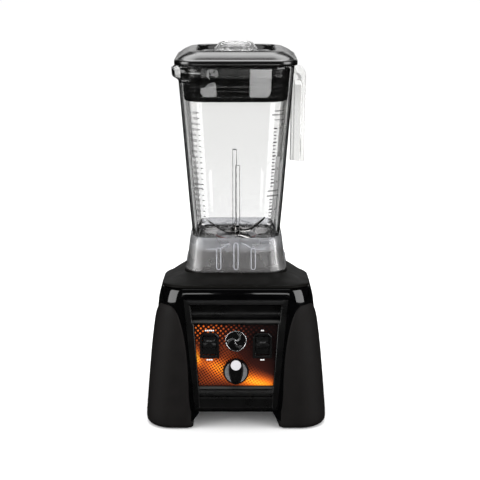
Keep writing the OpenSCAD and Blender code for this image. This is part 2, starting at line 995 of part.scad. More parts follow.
module bearing_housing() {
    color([0.72, 0.72, 0.74])
        difference() {
            union() {
                translate([0, 0, unit_low_z])
                    cylinder(r = housing_hole_r - 0.1, h = jar_floor_z - unit_low_z);
                translate([0, 0, jar_floor_z + gasket_t])
                    cylinder(r1 = 25, r2 = 22, h = 2);
                translate([0, 0, jar_floor_z])
                    cylinder(r = housing_hole_r - 0.1, h = 2);
            }
            translate([0, 0, unit_low_z + 2])
                cylinder(r = blade_bearing_r, h = 2 * blade_bearing_h + 0.2);
            translate([0, 0, unit_low_z - 1])
                cylinder(r = blade_shaft_r + 1.2, h = 40);
            translate([0, 0, jar_floor_z + 0.2])
                cylinder(r = 7.5, h = 5);
        }
}

module housing_gasket() {
    color([0.5, 0.08, 0.05])
        translate([0, 0, jar_floor_z])
            tube(25, housing_hole_r + 0.05, gasket_t);
}

module housing_nut() {
    color([0.5, 0.5, 0.52])
        translate([0, 0, unit_low_z + 0.3])
            difference() {
                cylinder(r = 27, h = jar_foot_z - unit_low_z - 0.3, $fn = 8);
                translate([0, 0, -1])
                    cylinder(r = housing_hole_r, h = 20);
            }
}

module upper_blade_bearing() {
    color([0.78, 0.78, 0.8])
        ball_bearing(unit_low_z + 2.2 + blade_bearing_h, blade_shaft_r + clearance, blade_bearing_r, blade_bearing_h);
}

module lower_blade_bearing() {
    color([0.78, 0.78, 0.8])
        ball_bearing(unit_low_z + 2, blade_shaft_r + clearance, blade_bearing_r, blade_bearing_h);
}

module blade_seal() {
    color([0.05, 0.05, 0.05])
        ball_bearing(jar_floor_z + 0.3, blade_shaft_r + clearance, 7.4, 2.3);
}

shaft_foot_z = 197.9;
module blade_shaft() {
    color([0.75, 0.75, 0.77])
        translate([0, 0, shaft_foot_z])
            cylinder(r = blade_shaft_r, h = 226 - shaft_foot_z);
}

module blade_spacer() {
    color([0.7, 0.7, 0.72])
        translate([0, 0, 216.2])
            tube(6.5, blade_shaft_r, 1.6);
}

// One cutter wing: a flat root and a bent outer part, both tapering.
wing_t = 1.6;
module wing(root, reach, bend, width) {
    overlap = 1.2;
    translate([0, -width / 2, 0])
        cube([root, width, wing_t]);
    translate([root - overlap, 0, 0])
        rotate([0, -bend, 0])
            linear_extrude(height = wing_t)
                polygon([[0, -width * 0.48], [reach * 0.75, -width * 0.22], [reach, width * 0.42],
                         [reach * 0.9, width * 0.48], [0, width * 0.48]]);
}

module blade_pair(z, root, reach, bend, width, turn) {
    translate([0, 0, z])
        difference() {
            union() {
                cylinder(r = 8.5, h = wing_t);
                for (a = [0, 180])
                    rotate(turn + a)
                        wing(root, reach, bend, width);
            }
            translate([0, 0, -1])
                cylinder(r = blade_shaft_r, h = 5);
        }
}

module lower_blades() {
    color([0.78, 0.78, 0.8])
        blade_pair(217.8, 16, 19, -6, 14, -62);
}

module raised_blades() {
    color([0.82, 0.82, 0.84])
        blade_pair(219.4, 14, 29, 37, 14, 8);
}

module blade_nut() {
    color([0.8, 0.8, 0.82])
        translate([0, 0, 221])
            difference() {
                union() {
                    cylinder(r = 6.8, h = 5, $fn = 6);
                    translate([0, 0, 5])
                        cylinder(r1 = 5.6, r2 = 3, h = 2.6);
                }
                translate([0, 0, -1])
                    cylinder(r = blade_shaft_r, h = 6);
            }
}

socket_z = 187.2;
module drive_socket() {
    color([0.06, 0.06, 0.06])
        translate([0, 0, socket_z])
            difference() {
                cylinder(r = 15, h = 13);
                translate([0, 0, -1])
                    linear_extrude(height = 1 + shaft_foot_z - 0.1 - socket_z)
                        offset(delta = 0.4)
                            spline_2d(8.6, 10.6);
                translate([0, 0, 8])
                    cylinder(r = blade_shaft_r, h = 10);
            }
}

// ---- Lid ----

plug_gap = 1.3;
cap_hole_r = 22;
dish_depth = 6.5;
module lid() {
    t = 3;
    half = lid_w / 2;
    color([0.03, 0.03, 0.03])
        difference() {
            union() {
                loft([ring(half - 1.5, half - 1.5, 23, lid_rim_z), ring(half, half, 24, lid_rim_z + 1.5),
                      ring(half, half, 24, lid_rim_z + 6), ring(half - 2, half - 2, 23, lid_rim_z + 7.5),
                      ring(57, 57, 20, plateau_z - 1.3), ring(55, 55, 19, plateau_z),
                      ring(49, 49, 18, plateau_z + 1)]);
                loft([jar_ring(plug_z, jar_wall + plug_gap + 1), jar_ring(plug_z + 2, jar_wall + plug_gap),
                      jar_ring(lid_rim_z + 0.5, jar_wall + plug_gap)]);
                for (z = [393, 400, 404, 415])
                    loft([jar_ring(z, jar_wall + 0.6), jar_ring(z + 1.6, jar_wall + 0.4)]);
            }
            loft([jar_ring(plug_z - 1, jar_wall + plug_gap + t), jar_ring(lid_rim_z, jar_wall + plug_gap + t),
                  ring(46, 46, 17, plateau_z - dish_depth - 3)]);
            loft([ring(44, 44, 15, plateau_z - dish_depth), ring(45.5, 45.5, 16, plateau_z - dish_depth + 1.5),
                  ring(47.5, 47.5, 17, plateau_z + 1.5)]);
            translate([0, 0, plug_z - 2])
                cylinder(r = cap_hole_r, h = 100);
        }
    color([0.03, 0.03, 0.03])
        translate([0, 0, 412])
            tube(cap_hole_r + 3, cap_hole_r, plateau_z - dish_depth - 413);
}

cap_seat_z = plateau_z - dish_depth + 0.3;
cap_skirt_h = 7.2;
cap_foot_z = 408;
module lid_cap() {
    color([0.9, 0.92, 0.92, 0.35])
        difference() {
            union() {
                translate([0, 0, cap_seat_z])
                    cylinder(r = cap_r, h = cap_skirt_h);
                translate([0, 0, cap_seat_z + cap_skirt_h])
                    cylinder(r1 = cap_r, r2 = cap_r - 6, h = cap_top_z - cap_seat_z - cap_skirt_h);
                translate([0, 0, cap_foot_z])
                    cylinder(r = cap_hole_r - 0.5, h = cap_seat_z - cap_foot_z + 1);
                for (a = [0:60:300])
                    rotate(a)
                        translate([cap_r - 1.2, 0, cap_seat_z])
                            cylinder(r = 2.6, h = cap_skirt_h - 1);
            }
            translate([0, 0, cap_foot_z - 1])
                cylinder(r = cap_hole_r - 3, h = cap_seat_z + 4 - cap_foot_z);
            translate([0, 0, cap_top_z - 2])
                cylinder(r = 17, h = 5);
        }
}

// ---- Parts by name ----

base_housing();
top_cover();
leg_cover(-1, -1);  // leg_cover_front_left
leg_cover(1, -1);  // leg_cover_front_right
leg_cover(-1, 1);  // leg_cover_rear_left
leg_cover(1, 1);  // leg_cover_rear_right
rubber_feet();
bottom_plate();
bottom_screws();
fascia_frame();
control_panel();
switch_bezel(1);  // power_switch_bezel
switch_bezel(-1);  // pulse_switch_bezel
switch_body(1);  // power_switch_body
switch_body(-1);  // pulse_switch_body
speed_control();
circuit_board();
motor_stator();
field_coils();
upper_motor_bracket();
lower_motor_bracket();
upper_motor_bearing();
lower_motor_bearing();
motor_bolts();
brush_holders();
carbon_brushes();
jar_pad();
cord_gland();
motor_shaft();
armature_core();
commutator();
cooling_fan();
drive_coupling();
speed_knob();
dial_face();
pointer_dot();
speed_control_shaft();
switch_paddle(1, rock_angle);  // power_paddle
switch_paddle(-1, 0);  // pulse_paddle
reset_button();
jar();
jar_handle();
jar_collar();
bearing_housing();
housing_nut();
housing_gasket();
upper_blade_bearing();
lower_blade_bearing();
blade_seal();
blade_shaft();
raised_blades();
lower_blades();
blade_nut();
blade_spacer();
drive_socket();
lid();
lid_cap();
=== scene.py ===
"""The looks of a countertop blender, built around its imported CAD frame.

Lengths in this script are millimetres until a mesh is made, and the frame is the CAD's: X to the right,
-Y to the front, Z up from the surface that the blender stands on.
"""
import json
import math
from functools import partial

import bmesh
import bpy
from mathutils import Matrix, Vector


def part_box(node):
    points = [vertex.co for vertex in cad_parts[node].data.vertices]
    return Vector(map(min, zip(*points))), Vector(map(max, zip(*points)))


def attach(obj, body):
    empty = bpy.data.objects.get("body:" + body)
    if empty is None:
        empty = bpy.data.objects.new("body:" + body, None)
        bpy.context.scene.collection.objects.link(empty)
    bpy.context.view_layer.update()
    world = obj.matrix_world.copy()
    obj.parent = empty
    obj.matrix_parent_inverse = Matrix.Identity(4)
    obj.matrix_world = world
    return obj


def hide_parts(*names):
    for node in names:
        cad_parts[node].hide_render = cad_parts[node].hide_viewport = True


MM = 0.001
SHARP_DEG = 35

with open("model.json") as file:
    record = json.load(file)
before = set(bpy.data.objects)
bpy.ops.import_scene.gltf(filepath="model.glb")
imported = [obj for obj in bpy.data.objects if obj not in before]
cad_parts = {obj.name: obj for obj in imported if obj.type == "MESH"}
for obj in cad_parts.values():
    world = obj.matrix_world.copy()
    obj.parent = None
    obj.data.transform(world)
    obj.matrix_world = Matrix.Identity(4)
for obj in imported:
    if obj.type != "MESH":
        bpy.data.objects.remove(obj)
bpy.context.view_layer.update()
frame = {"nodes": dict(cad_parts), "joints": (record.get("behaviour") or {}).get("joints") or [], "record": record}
NODES = frame["nodes"]
JOINTS = {joint["name"]: joint for joint in frame["joints"]}


def node_box(name):
    """A CAD node's lowest and highest corners, in millimetres."""
    low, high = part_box(name)
    return low / MM, high / MM


# ---- Driving sizes, read from the frame ----

FOOT_HALF_X = node_box("base_housing")[1].x
FOOT_HALF_Y = node_box("base_housing")[1].y
DECK_Z = node_box("jar_collar")[0].z
HOUSING_TOP = node_box("base_housing")[1].z
TOP_HALF_X = node_box("top_cover")[1].x
TOP_HALF_Y = -node_box("top_cover")[0].y
REAR_DRAW = TOP_HALF_Y - node_box("top_cover")[1].y
JAR_FOOT_Z = node_box("jar")[0].z
JAR_RIM_Z = node_box("jar")[1].z
JAR_RIM_HALF = node_box("jar")[1].x
LID_LOW_Z = node_box("lid")[0].z
LID_TOP_Z = node_box("lid")[1].z
LID_HALF = node_box("lid")[1].x
CAP_TOP_Z = node_box("lid_cap")[1].z
ARCH_Z = node_box("bottom_plate")[1].z
FOOT_CORNER_R = 32
FLARE_Z = 13
SHOULDER_Z = 138
REAR_CORNER_R = 83
EDGE_DROP = 0.1
SHELF_DROP = 0.12


# ---- Camera, floor and light ----

def add_camera():
    """A long lens in front of the blender, looking a little down at it."""
    data = bpy.data.cameras.new("camera")
    data.lens = 84.15
    data.sensor_width = 36
    data.clip_end = 60
    camera = bpy.data.objects.new("camera", data)
    camera.location = (0.0048, -1.35, 0.56)
    camera.rotation_euler = (math.radians(90 - 14.6), 0, 0)
    bpy.context.scene.collection.objects.link(camera)
    bpy.context.scene.camera = camera


def new_material(name):
    """An empty node material: returns it, its nodes, its links and its output."""
    material = bpy.data.materials.new(name)
    material.use_nodes = True
    tree = material.node_tree
    tree.nodes.clear()
    output = tree.nodes.new("ShaderNodeOutputMaterial")
    return material, tree.nodes, tree.links, output


def math_result(shaders, links, kind, *values):
    """The output of a math node whose inputs are sockets or plain numbers."""
    node = shaders.new("ShaderNodeMath")
    node.operation = kind
    for i, value in enumerate(values):
        if hasattr(value, "node"):
            links.new(value, node.inputs[i])
        else:
            node.inputs[i].default_value = value
    return node.outputs[0]


def mirror_share(shaders, links):
    """0 for a ray that only passed through clear parts, 1 for a reflected one, less inside a clear wall."""
    path = shaders.new("ShaderNodeLightPath")
    maths = partial(math_result, shaders, links)
    reflected = maths("MINIMUM", path.outputs["Glossy Depth"], 1)
    in_wall = maths("COMPARE", path.outputs["Transmission Depth"], 2, 1.1)
    often = maths("GREATER_THAN", path.outputs["Glossy Depth"], 1.5)
    lightened = maths("MULTIPLY", maths("MULTIPLY", in_wall, often), 0.8)
    return maths("MULTIPLY", reflected, maths("SUBTRACT", 1, lightened))


def add_floor():
    """A wide pale floor that looks dark in reflections."""
    mesh = bpy.data.meshes.new("floor")
    size = 30
    corners = [(-size, -size, 0), (size, -size, 0), (size, size, 0), (-size, size, 0)]
    mesh.from_pydata(corners, [], [(0, 1, 2, 3)])
    floor = bpy.data.objects.new("floor", mesh)
    bpy.context.scene.collection.objects.link(floor)
    material, shaders, links, output = new_material("floor")
    mix = shaders.new("ShaderNodeMixShader")
    links.new(mirror_share(shaders, links), mix.inputs["Fac"])
    seen_grey, mirrored_grey = 0.93, 0.018
    for slot, grey in ((1, seen_grey), (2, mirrored_grey)):
        paint = shaders.new("ShaderNodeBsdfDiffuse")
        paint.inputs["Color"].default_value = (grey, grey, grey, 1)
        links.new(paint.outputs[0], mix.inputs[slot])
    links.new(mix.outputs[0], output.inputs["Surface"])
    mesh.materials.append(material)


def add_world():
    """Even white light, and a dark surround in reflections, as black cards give."""
    world = bpy.data.worlds.new("studio")
    bpy.context.scene.world = world
    world.use_nodes = True
    tree = world.node_tree
    tree.nodes.clear()
    output = tree.nodes.new("ShaderNodeOutputWorld")
    mix = tree.nodes.new("ShaderNodeMixShader")
    tree.links.new(mirror_share(tree.nodes, tree.links), mix.inputs["Fac"])
    seen_strength, mirrored_strength = 1.08, 0.015
    for slot, strength in ((1, seen_strength), (2, mirrored_strength)):
        glow = tree.nodes.new("ShaderNodeBackground")
        glow.inputs["Color"].default_value = (1, 1, 1, 1)
        glow.inputs["Strength"].default_value = strength
        tree.links.new(glow.outputs[0], mix.inputs[slot])
    tree.links.new(mix.outputs[0], output.inputs["Surface"])


def add_softbox(name, place, target, width, height, power):
    """A rectangular light, its places and size in metres and its power in watts."""
    light = bpy.data.lights.new(name, "AREA")
    light.shape = "RECTANGLE"
    light.size = width
    light.size_y = height
    light.energy = power
    lamp = bpy.data.objects.new(name, light)
    lamp.location = place
    aim = Vector(target) - Vector(place)
    lamp.rotation_euler = aim.to_track_quat("-Z", "Y").to_euler()
    bpy.context.scene.collection.objects.link(lamp)


def add_lights():
    """Softboxes at the sides, above and behind, a weak one above the front, and two low strips in front."""
    for name, side in (("left_box", -1), ("right_box", 1)):
        add_softbox(name, (side * 1.65, -0.95, 0.62), (0, 0, 0.3), 1.3, 1.25, 24)
    add_softbox("left_strip", (-0.17, -0.75, 0.226), (-0.035, 0, 0.33), 0.24, 0.064, 0.19)
    add_softbox("right_strip", (0.153, -0.75, 0.226), (0.035, 0, 0.33), 0.243, 0.064, 0.22)
    add_softbox("front_top", (0, -0.58, 1.6), (0, -0.1, 0.13), 1.2, 0.5, 2.6)
    add_softbox("overhead", (0, 0.75, 1.75), (0, 0.0, 0.3), 1.5, 1.0, 19)
    add_softbox("backdrop", (0, 3, 1.05), (0, 0, 0.6), 3.6, 1.0, 10)


# ---- Materials ----

def add_bump(shaders, links, target, strength, distance, height):
    """Raises target's surface by a height socket, distance metres at most."""
    bump = shaders.new("ShaderNodeBump")
    bump.inputs["Strength"].default_value = strength
    bump.inputs["Distance"].default_value = distance
    links.new(height, bump.inputs["Height"])
    links.new(bump.outputs[0], target.inputs["Normal"])


def noise_field(shaders, links, scale, detail=3, stretch=(1, 1, 1)):
    """Noise in the object's own coordinates, with scale in waves per metre."""
    place = shaders.new("ShaderNodeTexCoord")
    mapping = shaders.new("ShaderNodeMapping")
    mapping.inputs["Scale"].default_value = stretch
    field = shaders.new("ShaderNodeTexNoise")
    field.inputs["Scale"].default_value = scale
    field.inputs["Detail"].default_value = detail
    links.new(place.outputs["Object"], mapping.inputs["Vector"])
    links.new(mapping.outputs[0], field.inputs["Vector"])
    return field.outputs["Fac"]


def spread_between(shaders, links, value, low, high):
    """Maps a noise value from its usual middle range onto low to high."""
    spread = shaders.new("ShaderNodeMapRange")
    spread.inputs["From Min"].default_value = 0.3
    spread.inputs["From Max"].default_value = 0.7
    spread.inputs["To Min"].default_value = low
    spread.inputs["To Max"].default_value = high
    links.new(value, spread.inputs["Value"])
    return spread.outputs["Result"]


def solid_material(name, color, rough, metallic=0.0, vary=0.15, rough_vary=0.06, patch=60, grain=2500,
                   bump=0.15, depth=0.02, stretch=(1, 1, 1), ior=1.5):
    """An opaque moulded, rubbed or machined surface.

    color varies by vary in patches and rough by rough_vary. grain sets how fine the relief is, in waves per
    metre, and depth how deep, in millimetres.
    """
    material, shaders, links, output = new_material(name)
    skin = shaders.new("ShaderNodeBsdfPrincipled")
    skin.inputs["Metallic"].default_value = metallic
    skin.inputs["IOR"].default_value = ior
    patches = noise_field(shaders, links, patch, 4, stretch)
    ramp = shaders.new("ShaderNodeValToRGB")
    ramp.color_ramp.elements[0].position = 0.3
    ramp.color_ramp.elements[1].position = 0.7
    ramp.color_ramp.elements[0].color = (*(c * (1 - vary) for c in color), 1)
    ramp.color_ramp.elements[1].color = (*(min(1, c * (1 + vary)) for c in color), 1)
    links.new(patches, ramp.inputs["Fac"])
    links.new(ramp.outputs["Color"], skin.inputs["Base Color"])
    links.new(spread_between(shaders, links, patches, rough - rough_vary, rough + rough_vary),
              skin.inputs["Roughness"])
    grains = noise_field(shaders, links, grain, 2, stretch)
    add_bump(shaders, links, skin, bump, depth * MM, grains)
    links.new(skin.outputs[0], output.inputs["Surface"])
    return material


def clear_material(name, color, rough, ior=1.5, haze=0.0, fade=None):
    """A see-through moulding; haze is the share of it that scatters light like a dull surface.

    fade is (lower height, upper height, colour): color turns into that colour between the two heights.
    """
    material, shaders, links, output = new_material(name)
    glass = shaders.new("ShaderNodeBsdfPrincipled")
    glass.inputs["Base Color"].default_value = (*color, 1)
    glass.inputs["IOR"].default_value = ior
    glass.inputs["Transmission Weight"].default_value = 1 - haze
    flow = noise_field(shaders, links, 35, 2)
    links.new(spread_between(shaders, links, flow, rough * 0.5, rough * 1.5), glass.inputs["Roughness"])
    add_bump(shaders, links, glass, 0.05, 0.2 * MM, flow)
    lets_light_in = shaders.new("ShaderNodeBsdfTransparent")
    lets_light_in.inputs["Color"].default_value = (*color, 1)
    if fade:
        place = shaders.new("ShaderNodeTexCoord")
        split = shaders.new("ShaderNodeSeparateXYZ")
        links.new(place.outputs["Object"], split.inputs[0])
        rise = shaders.new("ShaderNodeMapRange")
        links.new(split.outputs["Z"], rise.inputs["Value"])
        rise.inputs["From Min"].default_value = fade[0] * MM
        rise.inputs["From Max"].default_value = fade[1] * MM
        tint = shaders.new("ShaderNodeMix")
        tint.data_type = "RGBA"
        links.new(rise.outputs["Result"], tint.inputs["Factor"])
        tint.inputs["A"].default_value = (*color, 1)
        tint.inputs["B"].default_value = (*fade[2], 1)
        links.new(tint.outputs["Result"], glass.inputs["Base Color"])
    path = shaders.new("ShaderNodeLightPath")
    mix = shaders.new("ShaderNodeMixShader")
    links.new(path.outputs["Is Shadow Ray"], mix.inputs["Fac"])
    links.new(glass.outputs[0], mix.inputs[1])
    links.new(lets_light_in.outputs[0], mix.inputs[2])
    links.new(mix.outputs[0], output.inputs["Surface"])
    return material


def make_materials():
    """Every material by its name, from the settings that differ from the usual ones."""
    solids = {
        "gloss_black": dict(color=(0.0006, 0.0006, 0.0007), rough=0.06, rough_vary=0.02, grain=90,
                            bump=0.04, depth=0.04),
        "satin_black": dict(color=(0.0036, 0.0033, 0.0028), rough=0.45, grain=2200, bump=0.3, depth=0.04,
                            ior=1.15),
        "textured_black": dict(color=(0.0038, 0.0027, 0.0024), rough=0.68, grain=1500, bump=0.6, depth=0.08,
                               ior=1.32),
        "fascia_black": dict(color=(0.0012, 0.0012, 0.0012), rough=0.3, grain=2600, bump=0.2, ior=1.42),
        # a lighter copy of the frame's black for the ledges: a painted highlight
        "ledge_painted_highlight": dict(color=(0.021, 0.021, 0.02), rough=0.4, grain=2600, bump=0.2),
        "switch_black": dict(color=(0.003, 0.003, 0.003), rough=0.22, grain=500, bump=0.1),
        "knob_black": dict(color=(0.002, 0.002, 0.002), rough=0.1, grain=500, bump=0.05),
        "pointer_white": dict(color=(0.42, 0.41, 0.43), rough=0.35, vary=0.03, bump=0.05),
        "label_white": dict(color=(0.72, 0.72, 0.72), rough=0.4, vary=0.05, bump=0.05),
        "scale_print": dict(color=(0.03, 0.028, 0.028), rough=0.5, vary=0.2, bump=0.05),
        "lid_rubber": dict(color=(0.0012, 0.0012, 0.001), rough=0.22, rough_vary=0.02, grain=1200,
                           bump=0.04, ior=1.75),
        "black_rubber": dict(color=(0.018, 0.018, 0.018), rough=0.7, grain=900, bump=0.5, depth=0.06),
        "drive_black": dict(color=(0.03, 0.03, 0.03), rough=0.45, grain=700, bump=0.3, depth=0.04),
        "circuit_green": dict(color=(0.02, 0.12, 0.05), rough=0.35, grain=300, bump=0.4, depth=0.1),
        "button_red": dict(color=(0.45, 0.02, 0.015), rough=0.25, bump=0.05),
        "gasket_red": dict(color=(0.35, 0.04, 0.03), rough=0.55, bump=0.2),
        "carbon": dict(color=(0.03, 0.03, 0.032), rough=0.5, grain=1500, bump=0.4, depth=0.05),
        "dial_silver": dict(color=(0.22, 0.22, 0.225), rough=0.36, metallic=0.5, vary=0.25, patch=220,
                            grain=900, stretch=(1, 1, 5), bump=0.3),
        "emblem_silver": dict(color=(0.7, 0.7, 0.7), rough=0.25, metallic=1, bump=0.1),
        "blade_steel": dict(color=(0.5, 0.49, 0.48), rough=0.13, metallic=1, grain=700, stretch=(1, 6, 1),
                            bump=0.12),
        "bearing_steel": dict(color=(0.6, 0.6, 0.62), rough=0.25, metallic=1, stretch=(1, 1, 8), bump=0.2),
        "zinc_steel": dict(color=(0.52, 0.53, 0.56), rough=0.35, metallic=1, patch=200, bump=0.2),
        "cast_aluminium": dict(color=(0.55, 0.55, 0.57), rough=0.48, metallic=1, grain=900, bump=0.5,
                               depth=0.08),
        "core_iron": dict(color=(0.22, 0.22, 0.24), rough=0.45, metallic=1, grain=60,
                          stretch=(0.2, 0.2, 30), bump=0.8, depth=0.2),
        "copper": dict(color=(0.62, 0.26, 0.1), rough=0.3, metallic=1, grain=900, stretch=(1, 1, 4),
                       bump=0.6, depth=0.15),
        "brass_holder": dict(color=(0.6, 0.45, 0.18), rough=0.32, metallic=1, bump=0.2),
    }
    # the jar's tint lightens from near its foot to 60 mm below its rim: painted shade, darker towards the foot
    jar_painted_shade = (JAR_FOOT_Z + 10, JAR_RIM_Z - 60, (0.86, 0.86, 0.855))
    collar_fade = (DECK_Z + 24, DECK_Z + 32, (0.74, 0.75, 0.78))
    clears = {
        "cap_clear": dict(color=(0.96, 0.96, 0.96), rough=0.02, haze=0.06),
        "clear_jar": dict(color=(0.785, 0.785, 0.785), rough=0.015, fade=jar_painted_shade),
        "clear_grip": dict(color=(0.72, 0.72, 0.71), rough=0.03, ior=1.45, haze=0.22),
        # lighter, hazier copy of the smoke plastic for the collar's beads: painted highlights on its edges
        "collar_edge_highlight": dict(color=(0.5, 0.51, 0.55), rough=0.2, haze=0.6),
        "smoke_collar": dict(color=(0.5, 0.49, 0.49), rough=0.27, haze=0.08, fade=collar_fade),
    }
    made = {name: solid_material(name, **look) for name, look in solids.items()}
    made.update({name: clear_material(name, **look) for name, look in clears.items()})
    return made


# ---- Mesh building ----

def clean_mesh(name, vertices, faces):
    """A mesh from vertices in millimetres, without double points and with its faces outwards."""
    mesh = bpy.data.meshes.new(name)
    mesh.from_pydata([tuple(c * MM for c in v) for v in vertices], [], faces)
    work = bmesh.new()
    work.from_mesh(mesh)
    bmesh.ops.remove_doubles(work, verts=work.verts, dist=2e-6)
    bmesh.ops.dissolve_degenerate(work, edges=work.edges, dist=1e-6)
    bmesh.ops.recalc_face_normals(work, faces=work.faces)
    work.to_mesh(mesh)
    work.free()
    return mesh


def make_piece(name, vertices, faces, body, slot, replaced=(), sharp=SHARP_DEG):
    """A closed, smooth-shaded piece that rides on a body; edges of over sharp degrees stay crisp."""
    mesh = clean_mesh(name, vertices, faces)
    mesh.shade_smooth()
    mesh.set_sharp_from_angle(angle=math.radians(sharp))
    mesh.materials.append(MATERIALS[slot])
    piece = bpy.data.objects.new(name, mesh)
    bpy.context.scene.collection.objects.link(piece)
    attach(piece, body)
    if replaced:
        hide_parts(*replaced)
    return piece


def add_bevel(piece, width, segments=3, angle=40):
    """Rounds a piece's edges, width in millimetres."""
    bevel = piece.modifiers.new("rounded_edges", "BEVEL")
    bevel.width = width * MM
    bevel.segments = segments
    bevel.limit_method = "ANGLE"
    bevel.angle_limit = math.radians(angle)
    bevel.harden_normals = False
    bevel.miter_outer = "MITER_ARC"
    return piece


def loft_faces(rings, count, wrap=False):
    """Faces through rings of count points each; wrap joins the last ring to the first, in place of caps."""
    faces = []
    pairs = [(k, k + 1) for k in range(rings - 1)] + ([(rings - 1, 0)] if wrap else [])
    for a, b in pairs:
        for j in range(count):
            n = (j + 1) % count
            faces.append((a * count + j, a * count + n, b * count + n, b * count + j))
    if not wrap:
        faces.append(tuple(range(count - 1, -1, -1)))
        faces.append(tuple((rings - 1) * count + j for j in range(count)))
    return faces


def add_loft(vertices, faces, rings, wrap=False):
    """Adds a loft to the vertices and faces of a piece that may hold several."""
    start = len(vertices)
    vertices.extend(tuple(p) for ring in rings for p in ring)
    faces.extend(tuple(start + i for i in face) for face in loft_faces(len(rings), len(rings[0]), wrap))


def loft(name, rings, body, slot, replaced=(), wrap=False, sharp=SHARP_DEG):
    """A piece through rings of points, capped at both ends or wrapped from the last ring to the first."""
    vertices, faces = [], []
    add_loft(vertices, faces, rings, wrap)
    return make_piece(name, vertices, faces, body, slot, replaced, sharp)


def square_ring(half_x, half_y, radius, z, corner_steps=12, side_marks=(-0.5, 0, 0.5), fixed_marks=(),
                bulge=0, rear=None, drop=0):
    """One ring of a rounded rectangle, counter-clockwise from the right side's front end.

    side_marks are extra points along each straight side as shares of its half length, and fixed_marks are
    extra points at millimetre offsets. bulge pushes the sides' middles out. rear is the reach and corner
    radius of the rear half, where they differ, and the ring falls by drop for each millimetre to the rear.
    """
    rear_half, rear_r = rear or (half_y, radius)
    points = []
    for side in range(4):
        turn = side * math.pi / 2
        out = (half_x, rear_half, half_x, half_y)[side]
        start_r = radius if side in (0, 3) else rear_r
        end_r = radius if side in (2, 3) else rear_r
        start_half = (half_y, half_x, rear_half, half_x)[side]
        end_half = (rear_half, half_x, half_y, half_x)[side]
        low, high = start_r - start_half, end_half - end_r
        middle, straight = (low + high) / 2, (high - low) / 2
        marks = [middle + s * straight for s in side_marks] + list(fixed_marks)
        for m in sorted(max(low, min(high, m)) for m in marks):
            push = bulge * (1 - (2 * m / (start_half + end_half)) ** 2)
            points.append(rotate_2d(out + push, m, turn))
        next_out = (rear_half, half_x, half_y, half_x)[side]
        for i in range(corner_steps + 1):
            a = math.pi / 2 * i / corner_steps
            x = out - end_r + end_r * math.cos(a)
            y = next_out - end_r + end_r * math.sin(a)
            if a < math.pi / 4:
                x += bulge * (1 - min(1, abs(y) / next_out) ** 2)
            else:
                y += bulge * (1 - min(1, abs(x) / out) ** 2)
            points.append(rotate_2d(x, y, turn))
    return [(x, y, z - drop * (y + TOP_HALF_Y)) for x, y in points]


def rotate_2d(x, y, turn):
    """A flat point turned about the origin, by an angle in radians."""
    return x * math.cos(turn) - y * math.sin(turn), x * math.sin(turn) + y * math.cos(turn)


def lathe(name, profile, body, slot, place, replaced=(), steps=64, closed=True):
    """Turns a profile of (radius, height) about an axis; closed joins its last point to its first."""
    turns = [2 * math.pi * j / steps for j in range(steps)]
    rings = [[place(Vector((r * math.cos(a), r * math.sin(a), h))) for a in turns] for r, h in profile]
    return loft(name, rings, body, slot, replaced, wrap=closed)


def arc(cx, cy, r, start, end, steps):
    """Points on an arc from start to end, in degrees."""
    return [(cx + r * math.cos(math.radians(start + (end - start) * i / steps)),
             cy + r * math.sin(math.radians(start + (end - start) * i / steps))) for i in range(steps + 1)]


def smooth(t):
    """Eases from 0 to 1 while t runs from 0 to 1."""
    t = max(0.0, min(1.0, t))
    return t * t * (3 - 2 * t)


# ---- Base ----

BASE_MARKS = (-0.6, 0, 0.6)


def draw_in(z):
    """How far the base has drawn in at height z, from 0 at its widest to 1 at the roof."""
    t = max(0, (z - FLARE_Z) / (HOUSING_TOP - FLARE_Z))
    return 0.65 * t + 0.35 * t ** 4


def base_half(z):
    """Half the base's width and depth at height z."""
    share = draw_in(z)
    return (FOOT_HALF_X - (FOOT_HALF_X - TOP_HALF_X) * share,
            FOOT_HALF_Y - (FOOT_HALF_Y - TOP_HALF_Y) * share)


def rear_share(z):
    """How far the base's rear has rounded off at height z, from 0 at the shoulder to 1 at the roof."""
    return max(0, min(1, (z - SHOULDER_Z) / (HOUSING_TOP - SHOULDER_Z)))


def base_ring(z, inset):
    """The base's outline at height z, drawn in by inset."""
    half_x, half_y = base_half(z)
    share = rear_share(z)
    rear = (half_y - inset - REAR_DRAW * share,
            FOOT_CORNER_R + (REAR_CORNER_R - FOOT_CORNER_R) * share - inset)
    return square_ring(half_x - inset, half_y - inset, FOOT_CORNER_R - inset, z, 14, BASE_MARKS, bulge=0.6,
                       rear=rear, drop=EDGE_DROP * share)


def housing_inset(z):
    """The gloss housing lies a little inside the legs, and comes flush above them."""
    low_inset, high_inset, leave_z, flush_z = 1.9, 0.4, 140, 162
    return low_inset - (low_inset - high_inset) * smooth((z - leave_z) / (flush_z - leave_z))


def make_housing():
    """The gloss shell of the base, open at the panel and under the cover."""
    wall, hole_r, top = 3.0, 53, HOUSING_TOP
    heights = [ARCH_Z + 2, 30, 45, 60, 75, 90, 105, 120, 132, 142, 150, 154, 158, 162, 166, 169.5]
    outer = [base_ring(ARCH_Z, 3.5), base_ring(ARCH_Z + 0.6, 2.5)]
    outer += [base_ring(z, housing_inset(z)) for z in heights]
    outer += [base_ring(top - 1.4, 0.9), base_ring(top - 0.5, 1.6), base_ring(top, 2.8)]
    inner = [base_ring(top, 5)] + [base_ring(z, housing_inset(z) + wall) for z in heights[:0:-1]]
    inner.append(base_ring(ARCH_Z + wall, 8))
    hole = [square_ring(hole_r, hole_r, hole_r, z, 14, BASE_MARKS) for z in (ARCH_Z + wall, ARCH_Z)]
    piece = loft("gloss_housing", outer + inner + hole, "base", "gloss_black", ("base_housing",), wrap=True)
    cut_housing(piece)


